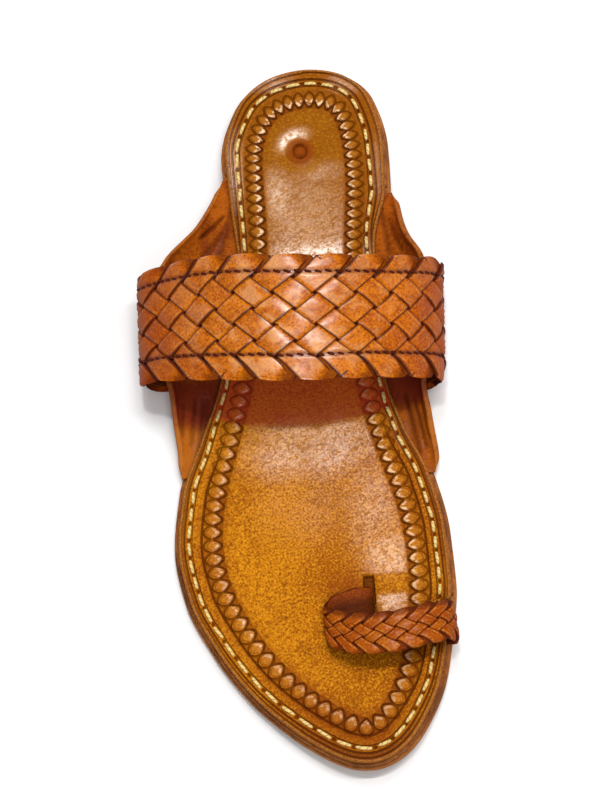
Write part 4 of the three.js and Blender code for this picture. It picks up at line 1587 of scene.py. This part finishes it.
BAND_WALL = {
    "base": 2.45,
    "rise": 0.7,
    "thick": 1.3,
    "steps": 12,
    "run": 9.9,
    "round": 1.1,
    "crown": 0.05,
    "lean": 0.28,
    "press": band_press,
}
BAND_TONES = {
    # The crown: glossier coat on the band's top, with a painted golden tone and painted highlight
    "crown": lambda part: dip(part - 0.5, 0.28),
    # Painted shade at both ends of the band, where it goes down beside the flaps
    "dark_end": lambda part: np.clip(0.8 * ease(part, 0.72, 0.93) + ease(part, 0.36, 0.06), 0, 1),
}
strips("instep_braid", BAND, BAND_WALL, band_surface, ORANGE_BRAID, "instep_band", BAND_TONES)

# %% Lining under a braid
LINING_RIM, LINING_ROUND = 0.004, 0.35
LINING_SHARES = (0.1, 0.25, 0.4, 0.5, 0.6, 0.75, 0.9)


def lining(name, surface, columns, thick, margin):
    """A thin sheet on the inside of a braid, with rounded rims and painted shade from its middle to its
    front edge.
    """
    first, last = (margin, margin + LINING_RIM), (1 - margin - LINING_RIM, 1 - margin)
    across = np.array([*first, *LINING_SHARES, *last])
    inset = np.minimum(np.arange(len(across)), np.arange(len(across))[::-1])
    drop = np.where(inset == 0, LINING_ROUND, 0.0) * thick
    p, a = np.meshgrid(np.linspace(0, 1, columns), across, indexing="ij")
    upper = surface(p, a, np.broadcast_to(thick - drop, p.shape))
    lower = surface(p, a, np.broadcast_to(drop, p.shape))
    # Painted shade, from the middle of the lining to its front edge
    hollow = ease(a, 0.06, 0.5)
    sheet(name, upper, lower, FLESHY_LINING, (), {"hollow": folded(hollow, hollow)})


lining("instep_lining", band_surface, columns=200, thick=1.25, margin=0.045)

# %% [markdown]
# ## Band stitches
# Two rows of dark thread hold the braid to its lining. The stitches lie along the band and pull the
# strips down, which the strips already know from their press. Each stitch rides at the height of the
# strip below it.

# %% Maroon stitch rows
BAND_STITCH_PITCH, BAND_STITCH_HALF = 3.7, 0.42
BAND_STITCH_POINTS = 7
BAND_STITCH_RADIUS = 0.5
BAND_STITCH_SLIP, BAND_STITCH_SLANT = 0.15, 0.45
BAND_STITCH_PROUD, BAND_STITCH_DIVE = 0.2, 0.55


def band_stitches():
    lines = []
    t = np.linspace(-1, 1, BAND_STITCH_POINTS)
    count = int(BAND_LENGTH / BAND_STITCH_PITCH)
    for row in BAND_STITCH_ROWS:
        b = (row - BAND.lobe) / BAND.row
        for i in range(count):
            part = (i + 0.5 + BAND_STITCH_HALF * t) / count
            along = part * BAND.columns
            y = row + BAND_STITCH_SLIP * rng.standard_normal() + BAND_STITCH_SLANT * t
            rise = BAND_WALL["rise"] * (1 - PRESS_FLATTENS) * BAND.top(along, b + 0 * along)
            seat = BAND_WALL["base"] + rise - PRESS_DEPTH + BAND_WALL["thick"] / 2
            lift = seat + BAND_STITCH_PROUD - BAND_STITCH_DIVE * t**4
            middle = band_surface(part, y / BAND.width, lift)
            up = band_surface(part, y / BAND.width, lift + 1) - middle
            side = np.cross(np.gradient(middle, axis=0), up)
            lines.append((middle, up, side / np.linalg.norm(side, axis=1, keepdims=True)))
    thread("instep_stitches", lines, BAND_STITCH_RADIUS, MAROON_THREAD, flat=0.8, turns=3.0)


band_stitches()

# %% [markdown]
# ## Toe loop
# The loop is a narrow braid of five strips. It leaves the sole's edge under the footbed, stands up,
# crosses over, flops down beyond the slot, curls under and goes into it. Its path is a curve and its
# width always lies along the foot.

# %% Loop surface
LOOP_WIDTH, LOOP_WALL = 16.5, 2.2
LEG_TAPER, LEG_PARTS = 0.15, (0.66, 0.84)
LOOP_HALF_PITCH = 4.25
LOOP_STRANDS, LOOP_LOBE, LOOP_NOTCH = 5, 1.5, 0.8
HIDDEN_BELOW, SHOWN_ABOVE = INSOLE_TOP - 1, INSOLE_TOP + 2
LOOP_PATH = table(
    "across from_heel rise",
    (29.5, 235, 6.6),
    (33.5, 235, 6.6),
    (37.8, 235, 6.7),
    (40.6, 235, 9.6),
    (40.6, 235, 15.5),
    (38.4, 235.3, 21.2),
    (32.5, 236.5, 25.8),
    (22, 238.4, 28.4),
    (9, 238.8, 27),
    (-2, 236.4, 22.8),
    (-7.8, 232, 17.8),
    (-6, 227.8, 14.5),
    (2, 225.2, 14.2),
    (7.8, 224.6, 13.2),
    (9.4, 224.4, 10.8),
    (9.5, 224.4, 9.2),
)
LOOP_LINE = Curve(place(LOOP_PATH["from_heel"], LOOP_PATH["across"], LOOP_PATH["rise"]))
LOOP_LENGTH, loop_share = even_shares(LOOP_LINE.at)
LOOP_COLUMNS = round(LOOP_LENGTH / LOOP_HALF_PITCH)
LOOP = Braid(LOOP_STRANDS, LOOP_COLUMNS, LOOP_WIDTH, LOOP_LOBE, LOOP_NOTCH, hand=1)
ALONG_FOOT = np.array([0.0, -1.0, 0.0])


def loop_surface(part, across, lift):
    """Points at a part of the loop's length, a share across it and a lift off its inner face."""
    part, across, lift = np.broadcast_arrays(part, across, lift)
    t = loop_share(part)
    over = np.cross(run_at(LOOP_LINE.at, t, SURFACE_REACH), ALONG_FOOT)
    over /= np.linalg.norm(over, axis=-1, keepdims=True)
    wide = LOOP_WIDTH * (1 - LEG_TAPER * ease(part, *LEG_PARTS))
    middle = LOOP_LINE.at(t) + ((across - 0.5) * wide)[..., None] * ALONG_FOOT
    shown = ease(middle[..., 2], HIDDEN_BELOW, SHOWN_ABOVE)
    lift = np.where(lift > LOOP_WALL, LOOP_WALL + (lift - LOOP_WALL) * shown, lift)
    return middle + over * (lift - LOOP_WALL / 2)[..., None]


print("loop length:", round(LOOP_LENGTH, 1), "half-pitches:", LOOP_COLUMNS)

# %% Loop strips and lining
LOOP_BRAID_WALL = {
    "base": 1.9,
    "rise": 0.55,
    "thick": 1.1,
    "steps": 10,
    "run": 5.4,
    "round": 1.2,
    "crown": 0.3,
    "lean": 0.1,
    # The loop's rear rim is pressed down and dyed dark as painted shade
    "press": lambda y: 0.9 * ease(y, 3.2, 1.4),
}


def loop_dark_end(part):
    """Darker than the band all along, with painted shade that makes it darkest at the leg and at the root.
    """
    return np.clip(0.6 + 0.4 * ease(part, 0.7, 0.85) + 0.4 * ease(part, 0.25, 0.1), 0, 1)


LOOP_TONES = {"crown": lambda part: 0.2 * dip(part - 0.45, 0.15), "dark_end": loop_dark_end}
strips("toe_braid", LOOP, LOOP_BRAID_WALL, loop_surface, BROWN_BRAID, "toe_loop", LOOP_TONES)
lining("toe_lining", loop_surface, columns=160, thick=0.95, margin=0.06)

# %% [markdown]
# ## Floor, light and camera
# The shoe lies on a pale floor. A long strip of light hangs over it along the foot, and a bar that is
# thin along the foot hangs to the big-toe side, so the band's shade on the footbed has a crisp front.
# Two small lamps make the gloss of forefoot and heel, and a wide one before the toe fills the shade.
# The camera stands over the toe, leans back and is rolled a little, as hands would hold it.

# %% Floor
FLOOR_SIZE = 6.0
FLOOR_GREY = (0.88, 0.88, 0.88, 1)


def pale_floor():
    f = Finish("pale_floor")
    f.base = FLOOR_GREY
    half = FLOOR_SIZE / 2
    corners = [(-half, -half, 0), (half, -half, 0), (half, half, 0), (-half, half, 0)]
    mesh = bpy.data.meshes.new("floor")
    mesh.from_pydata(corners, [], [(0, 1, 2, 3)])
    mesh.materials.append(f.close(Roughness=0.9, Specular_IOR_Level=0.1))
    made = bpy.data.objects.new("floor", mesh)
    bpy.context.scene.collection.objects.link(made)


pale_floor()


# %% Lights
def standing(at, behind, along):
    """A matrix at a place, with its own Z axis behind it and its X axis along."""
    axes = Matrix((along, behind.cross(along), behind)).transposed()
    return Matrix.Translation(at) @ axes.to_4x4()


SHOE_MIDDLE = Vector((0.0, 0.0, 0.02))
ACROSS_SHOE = Vector((1, 0, 0))
LAMPS = {
    "key_right": ((0.45, 0.26, 1.62), (0.7, 0.06), 9.5),
    "gloss_fore": ((0.05, 0.26, 1.7), (0.08, 0.06), 6),
    "gloss_heel": ((-0.04, 0.58, 1.5), (0.3, 0.3), 3.3),
    "strip_overhead": ((0.15, 0.0, 1.4), (0.32, 2.4), 11.5),
    "fill_toe": ((0.3, -1.5, 1.3), (1.2, 1.2), 4.5),
}
WORLD_LIGHT = 0.2
for name, (at, size, power) in LAMPS.items():
    lamp = bpy.data.lights.new(name, "AREA")
    lamp.shape = "RECTANGLE"
    lamp.size, lamp.size_y = size
    lamp.energy = power
    made = bpy.data.objects.new(name, lamp)
    behind = (Vector(at) - SHOE_MIDDLE).normalized()
    made.matrix_world = standing(at, behind, (ACROSS_SHOE - behind * behind.x).normalized())
    bpy.context.scene.collection.objects.link(made)
world = bpy.data.worlds.new("studio")
world.use_nodes = True
background = world.node_tree.nodes["Background"]
background.inputs["Color"].default_value = (1, 1, 1, 1)
background.inputs["Strength"].default_value = WORLD_LIGHT
bpy.context.scene.world = world
bpy.context.scene.view_settings.view_transform = "Standard"
bpy.context.scene.view_settings.look = "None"
print("lamps:", *LAMPS)

# %% Camera
CAMERA_AT = Vector((0.0446, -0.2611, 1.0673))
CAMERA_AIM = Vector((0.0006, 0.003, 0.02))
IMAGE_UP = Vector((0.0837, 0.9965, 0))
LENS, SENSOR_WIDTH = 122, 36
camera_data = bpy.data.cameras.new("camera")
camera_data.lens = LENS
camera_data.sensor_width = SENSOR_WIDTH
camera = bpy.data.objects.new("camera", camera_data)
back = (CAMERA_AT - CAMERA_AIM).normalized()
camera.matrix_world = standing(CAMERA_AT, back, IMAGE_UP.cross(back).normalized())
bpy.context.scene.collection.objects.link(camera)
bpy.context.scene.camera = camera
print("camera to shoe:", round((CAMERA_AT - CAMERA_AIM).length, 3), "m")
